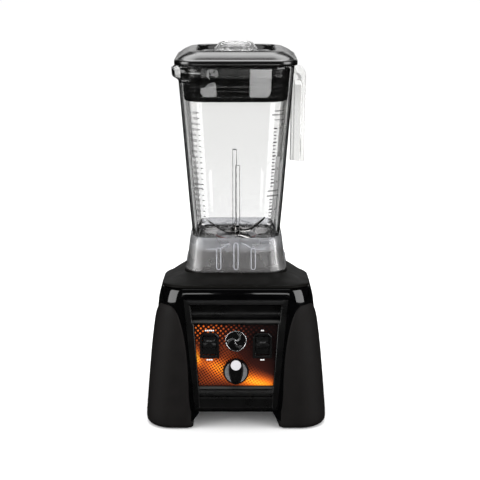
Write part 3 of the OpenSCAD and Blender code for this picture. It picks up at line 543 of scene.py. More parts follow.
def cut_housing(piece):
    """Cuts the control panel's opening and the rear air slots."""
    vertices, faces = [], []

    def add_prism(outline, low, high, place):
        """A flat outline raised from low to high and put in place."""
        add_loft(vertices, faces, [[place(Vector((x, y, h))) for x, y in outline] for h in (low, high)])

    edge = 2
    low_u, high_u = FRAME_LOW_HALF - edge, FRAME_HIGH_HALF - edge
    low_v, high_v = FRAME_LOW_V + edge, FRAME_HIGH_V - edge
    opening = [(-low_u, low_v), (low_u, low_v), (high_u, high_v), (-high_u, high_v)]
    add_prism(opening, -14, 30, on_panel)
    slot_w, slot_h, pitch, middle_z = 4, 44, 8, 112
    for i in range(-3, 4):
        half = slot_h / 2 - slot_w / 2
        outline = arc(0, half, slot_w / 2, 0, 180, 8) + arc(0, -half, slot_w / 2, 180, 360, 8)
        add_prism(outline, 80, 115, lambda p, x=i * pitch: Vector((x + p.x, p.z, middle_z + p.y)))
    cutter = bpy.data.objects.new("cutter", clean_mesh("cutter", vertices, faces))
    bpy.context.scene.collection.objects.link(cutter)
    apply_difference(piece, cutter)
    piece.data.shade_smooth()
    piece.data.set_sharp_from_angle(angle=math.radians(SHARP_DEG))


def apply_difference(piece, cutter):
    """Cuts cutter out of piece, and removes the cutter."""
    modifier = piece.modifiers.new("cut", "BOOLEAN")
    modifier.operation = "DIFFERENCE"
    modifier.solver = "EXACT"
    modifier.object = cutter
    bpy.context.view_layer.update()
    graph = bpy.context.evaluated_depsgraph_get()
    cut = bpy.data.meshes.new_from_object(piece.evaluated_get(graph))
    piece.modifiers.remove(modifier)
    piece.data = cut
    bpy.data.objects.remove(cutter)


def make_roof():
    """The satin cover over the motor, with the plinth that the jar stands on."""
    lip = HOUSING_TOP + 0.2
    deck_half, deck_r, hole_r, wall = 61.5, 27, 17, 3

    def edge(inset, rise, drop=EDGE_DROP, rear_r=None):
        """A ring that follows the housing's top edge, and keeps clear of the plinth's foot at the rear."""
        hx, hy = TOP_HALF_X - inset, TOP_HALF_Y - inset
        rear = (max(hy - REAR_DRAW, deck_half + 2.7 + (22.5 - inset) * 0.38),
                rear_r or REAR_CORNER_R - inset)
        return square_ring(hx, hy, FOOT_CORNER_R - min(inset, 4), lip + rise, 14, BASE_MARKS, bulge=0.6,
                           rear=rear, drop=drop)

    def shelf(half, under, drop=SHELF_DROP):
        """A ring near the foot of the plinth, level with the plinth's top in front."""
        z = DECK_Z - under + drop * (TOP_HALF_Y - half)
        return square_ring(half, half, deck_r, z, 14, BASE_MARKS, drop=drop)

    def level(half, z):
        """A level ring of the plinth or of the hole for the drive."""
        return square_ring(half, half, min(deck_r, half), z, 14, BASE_MARKS)

    outer = [edge(3.0, 0), edge(1.4, 0), edge(0.9, 0.2), edge(0.7, 0.8), edge(0.8, 1.7),
             edge(1.5, 2.7, 0.105), edge(3.0, 3.6, 0.108), edge(6.0, 4.6, 0.108),
             edge(10.5, 5.9, 0.105, 62), edge(16.5, 7.6, 0.1, 46), edge(22.5, 9.3, 0.094, 34),
             shelf(deck_half + 2.4, 0.9), shelf(deck_half + 1.0, 0.55),
             level(deck_half + 0.5, DECK_Z - 0.35), level(deck_half, DECK_Z)]
    hole = [level(hole_r, DECK_Z), level(hole_r, DECK_Z - wall)]
    inner = [level(deck_half - 3, DECK_Z - wall), shelf(deck_half - 2, 4.5), edge(14, 2.4, 0.104),
             edge(6, 0.2, 0.102), edge(4.5, 0)]
    loft("roof_cover", outer + hole + inner, "base", "satin_black", ("top_cover",), wrap=True)


LEG_APEX_Z = 153.5
LEG_SHOULDER_Z = 46


def leg_edge(z):
    """Distance of a leg's edge from the middle of the front, at height z."""
    t = max(0.0, min(1.0, (z - LEG_SHOULDER_Z) / (LEG_APEX_Z - LEG_SHOULDER_Z)))
    foot = max(0.0, min(1.0, (LEG_SHOULDER_Z - z) / 24))
    shoulder_x, apex_x, foot_x = 56, 82, 51.5
    outwards = (apex_x - shoulder_x) * (1 - (1 - t ** 2.1) ** 0.45)
    return shoulder_x + outwards - (shoulder_x - foot_x) * foot ** 2


def leg_reach(half_x, radius, edge):
    """How far a leg runs from the middle of its corner, along the outline, to reach its edge."""
    straight = half_x - radius - edge
    if straight > 0:
        return radius * math.pi / 4 + straight
    across = max(-1, min(1, (edge - half_x + radius) / radius))
    return max(radius * (math.acos(across) - math.pi / 4), 0.25)


def corner_point(s, half_x, half_y, radius, sink):
    """Point and outward normal at distance s from a corner's middle, along an outline sunk in by sink."""
    half_arc = radius * math.pi / 4
    if abs(s) <= half_arc:
        a = math.pi / 4 + s / radius
        n = (math.cos(a), math.sin(a))
        x, y = half_x - radius + radius * n[0], half_y - radius + radius * n[1]
    elif s > 0:
        n = (0, 1)
        x, y = half_x - radius - (s - half_arc), half_y
    else:
        n = (1, 0)
        x, y = half_x, half_y - radius - (-s - half_arc)
    return Vector((x - n[0] * sink, y - n[1] * sink)), Vector(n)


def leg_ring(z, side_x, side_y):
    """A leg's outline at height z: along the base's corner, round at both ends and back inside."""
    outline_steps, turn_steps, run_steps = 30, 7, 3
    toe_z, toe_r = 6.3, 5.5
    half_x, half_y = base_half(z)
    rounding = toe_r * (1 - math.sqrt(1 - max(0, (toe_z - z) / toe_r) ** 2))
    rear = rear_share(z) if side_y > 0 else 0
    half_x, half_y = half_x - rounding, half_y - rounding - REAR_DRAW * rear
    radius = FOOT_CORNER_R - rounding + (REAR_CORNER_R - FOOT_CORNER_R) * rear
    reach = leg_reach(half_x, radius, leg_edge(z))
    pod = max(0.0, min(1.0, (LEG_SHOULDER_Z - z) / 27))
    turn_r = min(2.6 + 5 * pod ** 2, reach * 0.8)
    sink = 1.6 * (1 - smooth((LEG_APEX_Z - z) / 5))
    pod_top, pod_fade, pod_back, shell = 30, 10, 44, 4
    inwards = smooth((pod_top - z) / pod_fade)
    depth = shell + (half_y - pod_back - turn_r - shell) * inwards
    depth = max(depth, 1.0) if reach > 3 else 1.0
    ring = []
    for end in (-1, 1):
        run = []
        start, n = corner_point(end * (reach - turn_r), half_x, half_y, radius, sink)
        along = Vector((-n.y, n.x)) * end
        for i in range(turn_steps + 1):
            a = math.pi / 2 * i / turn_steps
            run.append(start + along * turn_r * math.sin(a) - n * turn_r * (1 - math.cos(a)))
        for i in range(1, run_steps + 1):
            run.append(run[turn_steps] - n * depth * i / run_steps)
        ring += run if end > 0 else run[::-1]
        if end < 0:
            for i in range(1, outline_steps):
                s = (reach - turn_r) * (2 * i / outline_steps - 1)
                ring.append(corner_point(s, half_x, half_y, radius, sink)[0])
    back = Vector((half_x, half_y)).normalized()
    ring.append((ring[0] + ring[-1]) / 2 - back * min(10 * inwards, 8))
    fall = EDGE_DROP * rear
    return [(side_x * p.x, side_y * p.y, z - fall * (p.y + TOP_HALF_Y)) for p in ring]


def make_leg(name, side_x, side_y, replaced):
    """One leg: a shell that wraps the base's corner, pointed at the top and a rounded pod at the foot."""
    heights = [0.8, 1.4, 2.6, 4.4, 7, 10, 14, 19, 23, 27, 32, 38, 46, 56, 68, 80, 92, 103, 113, 122, 130,
               137, 142, 146, 149, 151, 152.4, LEG_APEX_Z - 0.35]
    rings = [leg_ring(z, side_x, side_y) for z in heights]
    loft(name, rings, "base", "textured_black", (replaced,), sharp=50)


def make_heel(name, side_x, side_y):
    """The gloss inner face of a foot, which turns down from the arch beside the leg's textured cover."""
    inner_y = 46
    arch = [(44, ARCH_Z + 1), (44.4, 20), (45.6, 18), (47.6, 15.4), (50.4, 12.2), (53.6, 8.8), (57, 5.6),
            (60, 3.2), (62.5, 2), (74, 2), (74, ARCH_Z + 1)]
    rings = []
    for share in (0.0, 0.06, 0.5, 0.94, 1.0):
        shrink = 0.9 if share in (0.0, 1.0) else 0.0
        ring = []
        for x, z in arch:
            front = base_half(z)[1] - 1.2
            y = front - shrink - (front - shrink * 2 - inner_y) * share
            across = x + (shrink * 0.6 if x < 70 else 0)
            ring.append((side_x * across, side_y * y, z + (shrink * 0.6 if z < 10 else 0)))
        rings.append(ring)
    loft(name, rings, "base", "gloss_black", sharp=30)


# ---- Control panel ----

PANEL_AT = Vector(JOINTS["speed_turn"]["pos_m"]) / MM
PANEL_OUT = Vector(JOINTS["speed_turn"]["axis"]).normalized()
PANEL_UP = Vector((0, PANEL_OUT.z, -PANEL_OUT.y))
FRAME_LOW_V, FRAME_HIGH_V = -48, 87
FRAME_LOW_HALF, FRAME_HIGH_HALF = 49.2, 61.7


def on_panel(p):
    """From panel coordinates, across, up and out of the panel, to the frame's."""
    return PANEL_AT + Vector((p.x, 0, 0)) + PANEL_UP * p.y + PANEL_OUT * p.z


def panel_place(up=0, out=0):
    """Puts a shape's own coordinates on the panel, moved up it and out of it."""
    return lambda p: on_panel(Vector((p.x, p.y + up, p.z + out)))


def frame_half(v):
    """Half the fascia's width at height v up the panel."""
    share = (v - FRAME_LOW_V) / (FRAME_HIGH_V - FRAME_LOW_V)
    return FRAME_LOW_HALF + (FRAME_HIGH_HALF - FRAME_LOW_HALF) * share


def make_fascia():
    """The moulded frame: a border, a scoop above the printed panel and a stepped apron below it."""
    face = 5.0
    # height up the panel, inner half width and depth of the middle, for each row
    rows = [
        (FRAME_LOW_V, 0, face - 1.2), (FRAME_LOW_V + 0.8, 0, face - 0.2), (FRAME_LOW_V + 2.2, 0, face),
        (-44.6, 43.2, face), (-44.0, 43.2, 3.6), (-39, 43.4, 3.2), (-33.4, 43.6, 2.9), (-32.6, 43.7, 2.2),
        (-31.8, 43.7, 1.9), (-30.6, 43.8, 2.9), (-26, 44, 2.5), (-23.2, 44.1, 1.6), (-22.2, 44.1, 1.2),
        (-22.0, 44.2, 4.2), (-21.6, 44.2, 4.6), (-21.2, 44.2, 4.4), (-18.6, 44.3, 1.4), (-18.3, 44.4, -7),
        (56.7, 49.6, -7), (56.9, 49.7, 3.4), (57.3, 49.8, 4.3), (58.2, 50.4, 4.8), (59.6, 50.9, 4.7),
        (62.6, 51.8, 1.4), (63.4, 51.9, -0.6), (64.6, 52.0, -2.8), (67, 52.3, -4.0), (71, 52.7, -4.4),
        (75, 53.1, -3.8),
        (78.4, 53.4, -2.2), (80.2, 53.6, 0.6), (80.8, 53.6, face - 0.4), (81.4, 53.7, face),
        (FRAME_HIGH_V - 2.2, 0, face), (FRAME_HIGH_V - 0.8, 0, face - 0.2), (FRAME_HIGH_V, 0, face - 1.2),
    ]
    vertices, faces = [], []
    back, bow = -9, 0.8
    shares = [-1, -0.66, -0.33, 0, 0.33, 0.66, 1]
    for v, inner, depth in rows:
        outer = frame_half(v)
        inner = inner or outer - 6
        columns = [(-outer, face - 1.2), (-outer + 0.7, face - 0.2), (-outer + 1.8, face),
                   (-inner - 0.9, face), (-inner - 0.2, min(face, max(depth, face - 0.6)))]
        columns += [(s * inner, depth) for s in shares]
        columns += [(-u, w) for u, w in columns[4::-1]]
        bowed = 76 < v < 81
        for u, w in columns:
            rise = bow * (1 - (u / inner) ** 2) if bowed and abs(u) <= inner else 0
            vertices.append(on_panel(Vector((u, v + rise, w))))
    front = len(rows)
    count = len(columns)
    for k in range(front - 1):
        for j in range(count - 1):
            a = k * count + j
            faces.append((a, a + 1, a + count + 1, a + count))
    rim = list(range(count)) + [k * count + count - 1 for k in range(1, front)]
    rim += [(front - 1) * count + j for j in range(count - 2, -1, -1)]
    rim += [k * count for k in range(front - 2, 0, -1)]
    edge_start = len(vertices)
    for index in rim:
        p = vertices[index]
        out = (p - PANEL_AT).dot(PANEL_OUT)
        vertices.append(p + PANEL_OUT * (back - out))
    for i in range(len(rim)):
        n = (i + 1) % len(rim)
        faces.append((rim[i], rim[n], edge_start + n, edge_start + i))
    faces.append(tuple(edge_start + i for i in range(len(rim))))
    piece = make_piece("fascia_moulding", vertices, faces, "base", "fascia_black", ("fascia_frame",),
                       sharp=28)
    add_bevel(piece, 0.35, 2, 30)


def make_ledge(name, low, high):
    """Painted highlight: a lighter strip on a frame ledge; low and high are (half width, height up the panel,
    depth).
    """
    rings = []
    for s in (-1, -0.98, -0.5, 0, 0.5, 0.98, 1):
        thin = 0.2 if abs(s) == 1 else 1
        ring = []
        for t, rise in ((0.06, 0), (0.16, 0.22), (0.5, 0.32), (0.84, 0.22), (0.94, 0), (0.5, -0.4)):
            half, v, w = (a + (b - a) * t for a, b in zip(low, high))
            lift = rise * thin
            ring.append(on_panel(Vector((s * (half - 0.6), v + 0.74 * lift, w + 0.67 * lift))))
        rings.append(ring)
    piece = loft(name, rings, "base", "fascia_black", sharp=50)
    # the strip takes the lighter black: a painted highlight along the ledge
    piece.data.materials[0] = MATERIALS["ledge_painted_highlight"]


def panel_art():
    """The printed panel: halftone dots over a band of orange light on black."""
    material, shaders, links, output = new_material("panel_print")
    skin = shaders.new("ShaderNodeBsdfPrincipled")
    skin.inputs["Roughness"].default_value = 0.42
    skin.inputs["IOR"].default_value = 1.2
    place = shaders.new("ShaderNodeTexCoord")
    split = shaders.new("ShaderNodeSeparateXYZ")
    links.new(place.outputs["Object"], split.inputs[0])

    maths = partial(math_result, shaders, links)

    def plus(*terms):
        total = terms[0]
        for term in terms[1:]:
            total = maths("ADD", total, term)
        return total

    half_w, half_h = 0.047, 0.0375
    middle_z = (PANEL_AT.z + 19) * MM
    u = maths("DIVIDE", split.outputs["X"], half_w)
    v = maths("DIVIDE", maths("SUBTRACT", split.outputs["Z"], middle_z), half_h)

    def glow(cu, cv, du, dv, tilt):
        """A soft spot of light at (cu, cv), du by dv in size, turned by tilt degrees."""
        c, s = math.cos(math.radians(tilt)), math.sin(math.radians(tilt))
        a, b = maths("SUBTRACT", u, cu), maths("SUBTRACT", v, cv)
        along = maths("DIVIDE", plus(maths("MULTIPLY", a, c), maths("MULTIPLY", b, s)), du)
        across = maths("DIVIDE", plus(maths("MULTIPLY", a, -s), maths("MULTIPLY", b, c)), dv)
        reach = plus(maths("MULTIPLY", along, along), maths("MULTIPLY", across, across))
        return maths("POWER", math.e, maths("MULTIPLY", reach, -1.0))

    def part(amount, spot):
        return maths("MULTIPLY", spot, amount)

    sweep = plus(part(0.5, glow(-0.6, -0.3, 0.5, 0.26, -22)), part(0.7, glow(0.82, -0.98, 0.85, 0.27, -17)),
                 part(0.48, glow(0.05, -0.66, 0.75, 0.3, -26)), part(0.8, glow(-1.0, -0.02, 0.13, 0.42, 0)),
                 part(0.38, glow(-0.8, -0.8, 0.7, 0.34, 0)), part(0.3, glow(-0.3, 0.1, 0.7, 0.36, -55)),
                 part(0.14, glow(0.5, -0.3, 0.7, 0.4, -40)))
    heat = maths("MINIMUM", sweep, 1.0)

    def dots(pitch, turn, size):
        """Round dots on a grid turned by turn degrees: 1 in a dot, 0 outside."""
        c, s = math.cos(math.radians(turn)), math.sin(math.radians(turn))
        x, z = split.outputs["X"], split.outputs["Z"]
        a = plus(maths("MULTIPLY", x, c / pitch), maths("MULTIPLY", z, s / pitch))
        b = plus(maths("MULTIPLY", x, -s / pitch), maths("MULTIPLY", z, c / pitch))
        fa = maths("SUBTRACT", maths("FRACT", a), 0.5)
        fb = maths("SUBTRACT", maths("FRACT", b), 0.5)
        distance = maths("SQRT", plus(maths("MULTIPLY", fa, fa), maths("MULTIPLY", fb, fb)))
        inside = maths("DIVIDE", maths("SUBTRACT", size, distance), 0.12)
        return maths("MAXIMUM", maths("MINIMUM", inside, 1.0), 0.0)

    corner = glow(-1.0, 0.9, 1.2, 0.85, -15)
    top_dots = maths("MULTIPLY", dots(0.0042, 38, 0.34), part(0.72, corner))
    band = plus(part(1.0, glow(-0.35, 0.2, 1.1, 0.45, -50)), part(0.95, glow(-0.9, -0.8, 0.75, 0.5, 15)))
    holes = maths("MULTIPLY", dots(0.0029, 33, 0.4), maths("MINIMUM", band, 0.9))
    lit = maths("MULTIPLY", heat, maths("SUBTRACT", 1.0, holes))
    level = maths("MAXIMUM", lit, top_dots)
    ramp = shaders.new("ShaderNodeValToRGB")
    stops = [(0.0, (0.004, 0.001, 0.001)), (0.2, (0.028, 0.004, 0.002)), (0.45, (0.2, 0.03, 0.003)),
             (0.7, (0.55, 0.1, 0.004)), (0.88, (0.8, 0.22, 0.006)), (1.0, (0.92, 0.4, 0.02))]
    elements = ramp.color_ramp.elements
    elements[0].position, elements[0].color = stops[0][0], (*stops[0][1], 1)
    elements[1].position, elements[1].color = stops[-1][0], (*stops[-1][1], 1)
    for position, color in stops[1:-1]:
        element = elements.new(position)
        element.color = (*color, 1)
    links.new(level, ramp.inputs["Fac"])
    links.new(ramp.outputs["Color"], skin.inputs["Base Color"])
    links.new(skin.outputs[0], output.inputs["Surface"])
    return material


def make_emblem():
    """A plain round badge: a silver ring around three curved blades."""
    place = panel_place(36.5, 1.0)
    steps = 12
    lathe("badge_ring", [(11.6, 0), (12.6, 0.0), (12.7, 0.25), (12.2, 0.5), (11.9, 0.5), (11.5, 0.25)],
          "base", "emblem_silver", place)
    lathe("badge_disc", [(11.55, -0.1), (11.55, 0.12), (0.01, 0.12), (0.01, -0.1)], "base", "knob_black",
          place)
    for i in range(3):
        turn = math.radians(120 * i + 20)
        curve = [(1.6 + 8.6 * k / steps, 70 * k / steps) for k in range(steps + 1)]
        lead = [rotate_2d(r, 0, turn + math.radians(a)) for r, a in curve]
        trail = [rotate_2d(r, 0, turn + math.radians(a * 0.62 - 34 * (1 - r / 12))) for r, a in curve]
        rings = [[place(Vector((x, y, h))) for x, y in lead + trail[::-1]] for h in (0.12, 0.42)]
        add_bevel(loft(f"badge_blade_{i + 1}", rings, "base", "emblem_silver"), 0.12, 2)
    lathe("badge_hub", [(1.5, 0.12), (1.5, 0.4), (1.2, 0.55), (0.01, 0.55), (0.01, 0.12)], "base",
          "emblem_silver", place, steps=24)


def make_labels():
    """Small white marks above and below the switches, on the printed panel."""
    top, above, below = 0.85, 49.3, 13.6
    switch_x = (node_box("power_paddle")[0].x + node_box("power_paddle")[1].x) / 2
    marks = [("above_left", -switch_x, above, 11.0), ("below_left", -switch_x, below, 7.6),
             ("above_right", switch_x, above, 3.6), ("below_right", switch_x, below, 5.2)]
    for name, x, v, width in marks:
        bars = max(1, round(width / 2.4))
        each = width / bars
        vertices, faces = [], []
        for b in range(bars):
            left = x - width / 2 + b * each + 0.2
            right = left + each - 0.4
            outline = [(left, v - 0.75), (right, v - 0.75), (right, v + 0.75), (left, v + 0.75)]
            rings = [[on_panel(Vector((a, c, h))) for a, c in outline] for h in (top, top + 0.1)]
            add_loft(vertices, faces, rings)
        make_piece("label_" + name, vertices, faces, "base", "label_white")


def make_knob():
    """The dial: a gloss skirt, a metal face, a bar grip that tapers outwards and a white pointer dot."""
    out_low = 1.6
    skirt = [(3.1, out_low), (14.6, out_low), (15.4, out_low + 0.5), (15.5, out_low + 1.2),
             (15.2, out_low + 3.2), (14.9, out_low + 4.3), (14.3, out_low + 5.0), (13.6, out_low + 5.1),
             (13.2, out_low + 4.9), (13.1, out_low + 4.2), (3.1, out_low + 4.2)]
    lathe("dial_skirt", skirt, "dial", "knob_black", on_panel, ("speed_knob",), steps=96)
    grip_low, grip_high = out_low + 4.3, out_low + 11.3
    dot_v, dot_r = 11.8, 6.3
    outline = arc(0, dot_v - 2.6, dot_r + 1.6, 20, 160, 14)
    outline += [(-8.8, 5.5), (-8.9, 1.5), (-8.0, -4), (-6.9, -9)]
    outline += arc(0, -9.5, 6.2, 190, 350, 12)
    outline += [(6.9, -9), (8.0, -4), (8.9, 1.5), (8.8, 5.5)]
    levels = [(grip_low, 1.0, 0), (grip_low + 1.2, 0.985, 0), (grip_low + 4, 0.9, 0.3),
              (grip_high - 0.8, 0.82, 0.6), (grip_high - 0.2, 0.79, 0.7), (grip_high, 0.74, 0.75)]
    rings = []
    for w, scale, lift in levels:
        ring = []
        for x, y in outline:
            drop = 2.6 * smooth((2 - y) / 14) * smooth((w - grip_low) / 5)
            ring.append(on_panel(Vector((x * scale, (y - 1.5) * scale + 1.5 + lift, w - drop))))
        rings.append(ring)
    loft("dial_grip", rings, "dial", "knob_black", sharp=45)
    top = grip_high + 0.9
    dot = [(0.01, grip_high - 1), (6.0, grip_high - 1), (6.1, top - 0.6), (5.8, top - 0.15), (5, top),
           (0.01, top + 0.15)]
    lathe("dial_dot", dot, "dial", "pointer_white", panel_place(dot_v - 1.6), ("pointer_dot",), 48,
          closed=False)


# ---- Jar ----

JAR_WALL = 3.5
JAR_FOOT_HALF = JAR_RIM_HALF * 51 / 67.8
JAR_FLOOR_Z = JAR_FOOT_Z + 8
CORNER_SHARE = 0.45
RIB_TOP = JAR_FLOOR_Z + 100
SPOUT_REACH = 17.5
SPOUT_FOOT_Z = JAR_RIM_Z - 20


def jar_half(z):
    """Half the jar's width at height z."""
    return JAR_FOOT_HALF + (JAR_RIM_HALF - JAR_FOOT_HALF) * (z - JAR_FOOT_Z) / (JAR_RIM_Z - JAR_FOOT_Z)


def jar_ring(z, inset=0.0, ribs=False, half=None, radius=None):
    """A ring of the jar, with the pouring lip at the front left corner and the ribs inside.

    half and radius, where they are given, take the place of the jar's own at that height.
    """
    h = (half or jar_half(z)) - inset
    r = radius if radius is not None else CORNER_SHARE * jar_half(z) - inset
    rib_half, rib_at, rib_depth = 2.4, 2.0, 6.0
    fixed = (rib_at - rib_half - 0.4, rib_at - rib_half, rib_at + rib_half, rib_at + rib_half + 0.4)
    bulge = 0.9 * smooth((z - JAR_FOOT_Z) / 60) if half is None else 0
    fixed += (-33, -31, -29.5, 29.5, 31, 33)
    ring = square_ring(h, h, r, z, 14, (-0.95, -0.6, -0.35, 0.35, 0.6, 0.95), fixed, bulge=bulge)
    out = []
    lift = smooth((z - SPOUT_FOOT_Z) / 11)
    lip_half, lip_round = 26.5, 4
    for x, y, _ in ring:
        if ribs:
            for side in range(4):
                a, b = rotate_2d(x, y, -side * math.pi / 2)
                if abs(b - rib_at) <= rib_half + 0.01 and a > h * 0.6:
                    x, y = rotate_2d(a - rib_depth, b + (0.35 if b < rib_at else -0.35), side * math.pi / 2)
        if lift > 0 and x < 0 and y < 0:
            across = (x - y) / math.sqrt(2)
            lip = max(0.0, 1 - math.hypot(across, lip_round) / lip_half)
            push = SPOUT_REACH * lift * lip / (1 - lip_round / lip_half)
            x -= push / math.sqrt(2)
            y -= push / math.sqrt(2)
        out.append((x, y, z))
    return out


def make_jar():
    """The clear jar: its wall, its ribs up to RIB_TOP, a thick floor and the hole for the blade unit."""
    wall = JAR_WALL
    hole_r = node_box("bearing_housing")[1].x - 5
    above_foot = (3, 10, 20, 35, 51, 67, 83, 99, 115, 131, 147, 163, 179, 191, 199)
    below_rim = (20, 18.5, 17, 15, 13, 11, 9, 6, 3)
    tall = [JAR_FOOT_Z + up for up in above_foot] + [JAR_RIM_Z - down for down in below_rim]
    outer = [jar_ring(JAR_FOOT_Z, 3), jar_ring(JAR_FOOT_Z + 1, 1.2)] + [jar_ring(z) for z in tall]
    rim = [jar_ring(JAR_RIM_Z - 1, 0), jar_ring(JAR_RIM_Z - 0.3, 0.3), jar_ring(JAR_RIM_Z, 1),
           jar_ring(JAR_RIM_Z, wall - 1), jar_ring(JAR_RIM_Z - 0.3, wall - 0.3),
           jar_ring(JAR_RIM_Z - 1, wall)]
    inner = [jar_ring(z, wall) for z in reversed(tall) if z > RIB_TOP + 1]
    inner += [jar_ring(RIB_TOP + 0.6, wall), jar_ring(RIB_TOP, wall, ribs=True)]
    inner += [jar_ring(JAR_FLOOR_Z + up, wall, ribs=True) for up in (91, 75, 59, 43, 27, 17)]
    floor = [(9, 1.0), (5, 2.6), (2.4, 5.5), (0.8, 9.5), (0, 15)]
    inner += [jar_ring(JAR_FLOOR_Z + up, wall + more, ribs=True) for up, more in floor]
    hole = [jar_ring(z, 0, half=hole_r, radius=hole_r) for z in (JAR_FLOOR_Z, JAR_FOOT_Z)]
    loft("jar_body", outer + rim + inner + hole, "jar_unit", "clear_jar", ("jar",), wrap=True, sharp=50)


def make_handle():
    """A clear channel-section grip that hangs from the jar's rear right corner."""
    end_z = node_box("jar_handle")[0].z
    top_z = node_box("jar_handle")[1].z
    root_r, reach, half = 80.5, 115.0, 10.0
    # stations along the handle: inner point, outer point, both as (distance from the axis, height)
    stations = [((root_r, top_z - 21), (root_r - 0.6, top_z)), ((88, top_z - 20.4), (88, top_z - 0.2)),
                ((95, top_z - 19.4), (97, top_z - 0.6))]
    bend_steps = 8
    for i in range(bend_steps + 1):
        a = math.radians(90 - 90 * i / bend_steps)
        inner = (97 + 11 * math.cos(a), top_z - 30 + 11 * math.sin(a))
        outer = (reach - 15 + 15 * math.cos(a), top_z - 16 + 15 * math.sin(a))
        stations.append((inner, outer))
    bend_z = stations[-1][0][1]
    for t in (0.15, 0.35, 0.6, 0.85, 1.0):
        z = bend_z - (bend_z - end_z) * t
        stations.append(((108 - 1.2 * t, z), (reach - 1.2 * t, z)))
    flange, floor_depth = 3.0, 0.45
    section = [(-half, 0), (half, 0), (half, 1), (half - flange, 1), (half - flange - 0.8, floor_depth),
               (-half + flange + 0.8, floor_depth), (-half + flange, 1), (-half, 1)]
    rings = []
    for inner, outer in stations:
        ring = []
        for across, out in section:
            r = inner[0] + (outer[0] - inner[0]) * out
            z = inner[1] + (outer[1] - inner[1]) * out
            x = (r - across) / math.sqrt(2)
            y = (r + across) / math.sqrt(2)
            ring.append((x, y, z))
        rings.append(ring)
    handle = loft("jar_grip", rings, "jar_unit", "clear_jar", ("jar_handle",), sharp=40)
    handle.data.materials[0] = MATERIALS["clear_grip"]
    add_bevel(handle, 0.9, 3, 45)


COLLAR_PROFILE = [(0, 59.2), (0.3, 60.2), (1.2, 60.6), (2.6, 60.4), (3.8, 59.6), (6, 59), (14, 57.7),
                  (22, 56.8), (29, 56.0), (34, 55.3), (38, 54.4), (40.4, 53.6), (41.3, 53.0)]


def make_collar():
    """The smoke-grey skirt under the jar."""
    low = DECK_Z

    def ring(z, h, r=25):
        return square_ring(h, h, r - (60.6 - h) * 0.6, z, 14, (-0.9, -0.6, -0.3, 0, 0.3, 0.6, 0.9),
                           bulge=0.8)

    outer = [ring(low + up, h) for up, h in COLLAR_PROFILE]
    inside = [(low + 41.3, 52.6), (low + 38, 52.2), (low + 33, 52.0), (low + 32, 50), (low + 30.6, 50),
              (low + 29.6, 52.8), (low + 18, 54.4), (low + 6, 56.2), (low, 57.2)]
    inner = [ring(z, h, 23) for z, h in inside]
    loft("collar_shell", outer + inner, "jar_unit", "smoke_collar", ("jar_collar",), wrap=True, sharp=40)


def collar_half(up):
    """Half the collar's width at a height above its foot."""
    for (low, half), (high, next_half) in zip(COLLAR_PROFILE, COLLAR_PROFILE[1:]):
        if up <= high:
            return half + (next_half - half) * (up - low) / (high - low)
    return COLLAR_PROFILE[-1][1]


def add_bead(name, path, radius, side, closed=False):
    """A raised bead on one side of the collar, in a lighter, hazier smoke: a painted highlight on an edge.

    path is a list of (distance from the side's middle, height above the foot).
    """
    rings = []
    count = len(path)
    for i, (x, up) in enumerate(path):
        before = path[(i - 1) % count] if closed or i else path[i]
        after = path[(i + 1) % count] if closed or i < count - 1 else path[i]
        along = Vector((after[0] - before[0], after[1] - before[1])).normalized()
        ring = []
        for k in range(8):
            a = math.pi * 2 * k / 8
            across = radius * math.cos(a)
            out = collar_half(up) + 0.75 * (1 - (x / 57) ** 2) - 0.15 + 0.8 * radius * math.sin(a)
            px, py = rotate_2d(out, x - along.y * across, side * math.pi / 2)
            ring.append((px, py, DECK_Z + up + along.x * across))
        rings.append(ring)
    piece = loft(name, rings, "jar_unit", "smoke_collar", wrap=closed, sharp=60)
    # the beads take the lighter smoke: painted highlights on the collar's edges
    piece.data.materials[0] = MATERIALS["collar_edge_highlight"]


def add_collar_relief():
    """Three round-ended rib outlines on each side of the collar, below a gable and a line that runs around:
    painted highlights.
    """
    rib_at, rib_half, rib_low, rib_high = 20.6, 2.5, 3.9, 29.5
    for side in range(4):
        for i in (-1, 0, 1):
            x = i * rib_at
            number = side * 3 + i + 2
            top = rib_high + (6 if i == 0 else 0)
            rises = [rib_low + rib_half + (top - rib_low) * t for t in (0.25, 0.5, 0.75)]
            outline = arc(x, top - rib_half, rib_half, 0, 180, 8)
            outline += [(x - rib_half, up) for up in reversed(rises)]
            outline += arc(x, rib_low + rib_half, rib_half, 180, 360, 8)
            outline += [(x + rib_half, up) for up in rises]
            add_bead(f"collar_rib_{number}", outline, 0.55, side, closed=True)
            if i:
                gable = [(x - i * t / 5 * (rib_at - rib_half - 4), rib_high - 0.5 + 6.5 * smooth(t / 5))
                         for t in range(6)]
                add_bead(f"collar_gable_{number}", gable, 0.5, side)
                line = [(x + i * (rib_half + 0.4 + 11.5 * t / 4), rib_high - 1.2) for t in range(5)]
                add_bead(f"collar_line_{number}", line, 0.5, side)


# ---- Blades ----

def wing_rings(turn, z, root, length, bend, width, tip_width):
    """The rings of one cutter wing: flat at the root, curving into its bend, with a ground leading edge."""
    steps = 16
    rings = []
    r, height = 0.0, z
    thick = 1.6
    step = (root + length) / steps
    for i in range(steps + 1):
        s = i * step
        angle = math.radians(bend) * smooth((s - root + 3) / 7)
        share = max(0, (s - root) / length)
        w = width + (tip_width - width) * share ** 1.2
        back = w / 2
        front = -w / 2 + 1.4 * share
        normal = (-math.sin(angle), math.cos(angle))
        section = [(front, 0.35), (front + 2.2, 0), (back - 0.4, 0), (back, 0.5), (back, thick - 0.5),
                   (back - 0.4, thick), (front + 2.6, thick), (front, 0.6)]
        ring = []
        for across, up in section:
            x, y = rotate_2d(r + normal[0] * up, across, math.radians(turn))
            ring.append((x, y, height + normal[1] * up))
        rings.append(ring)
        r += step * math.cos(angle)
        height += step * math.sin(angle)
    return rings


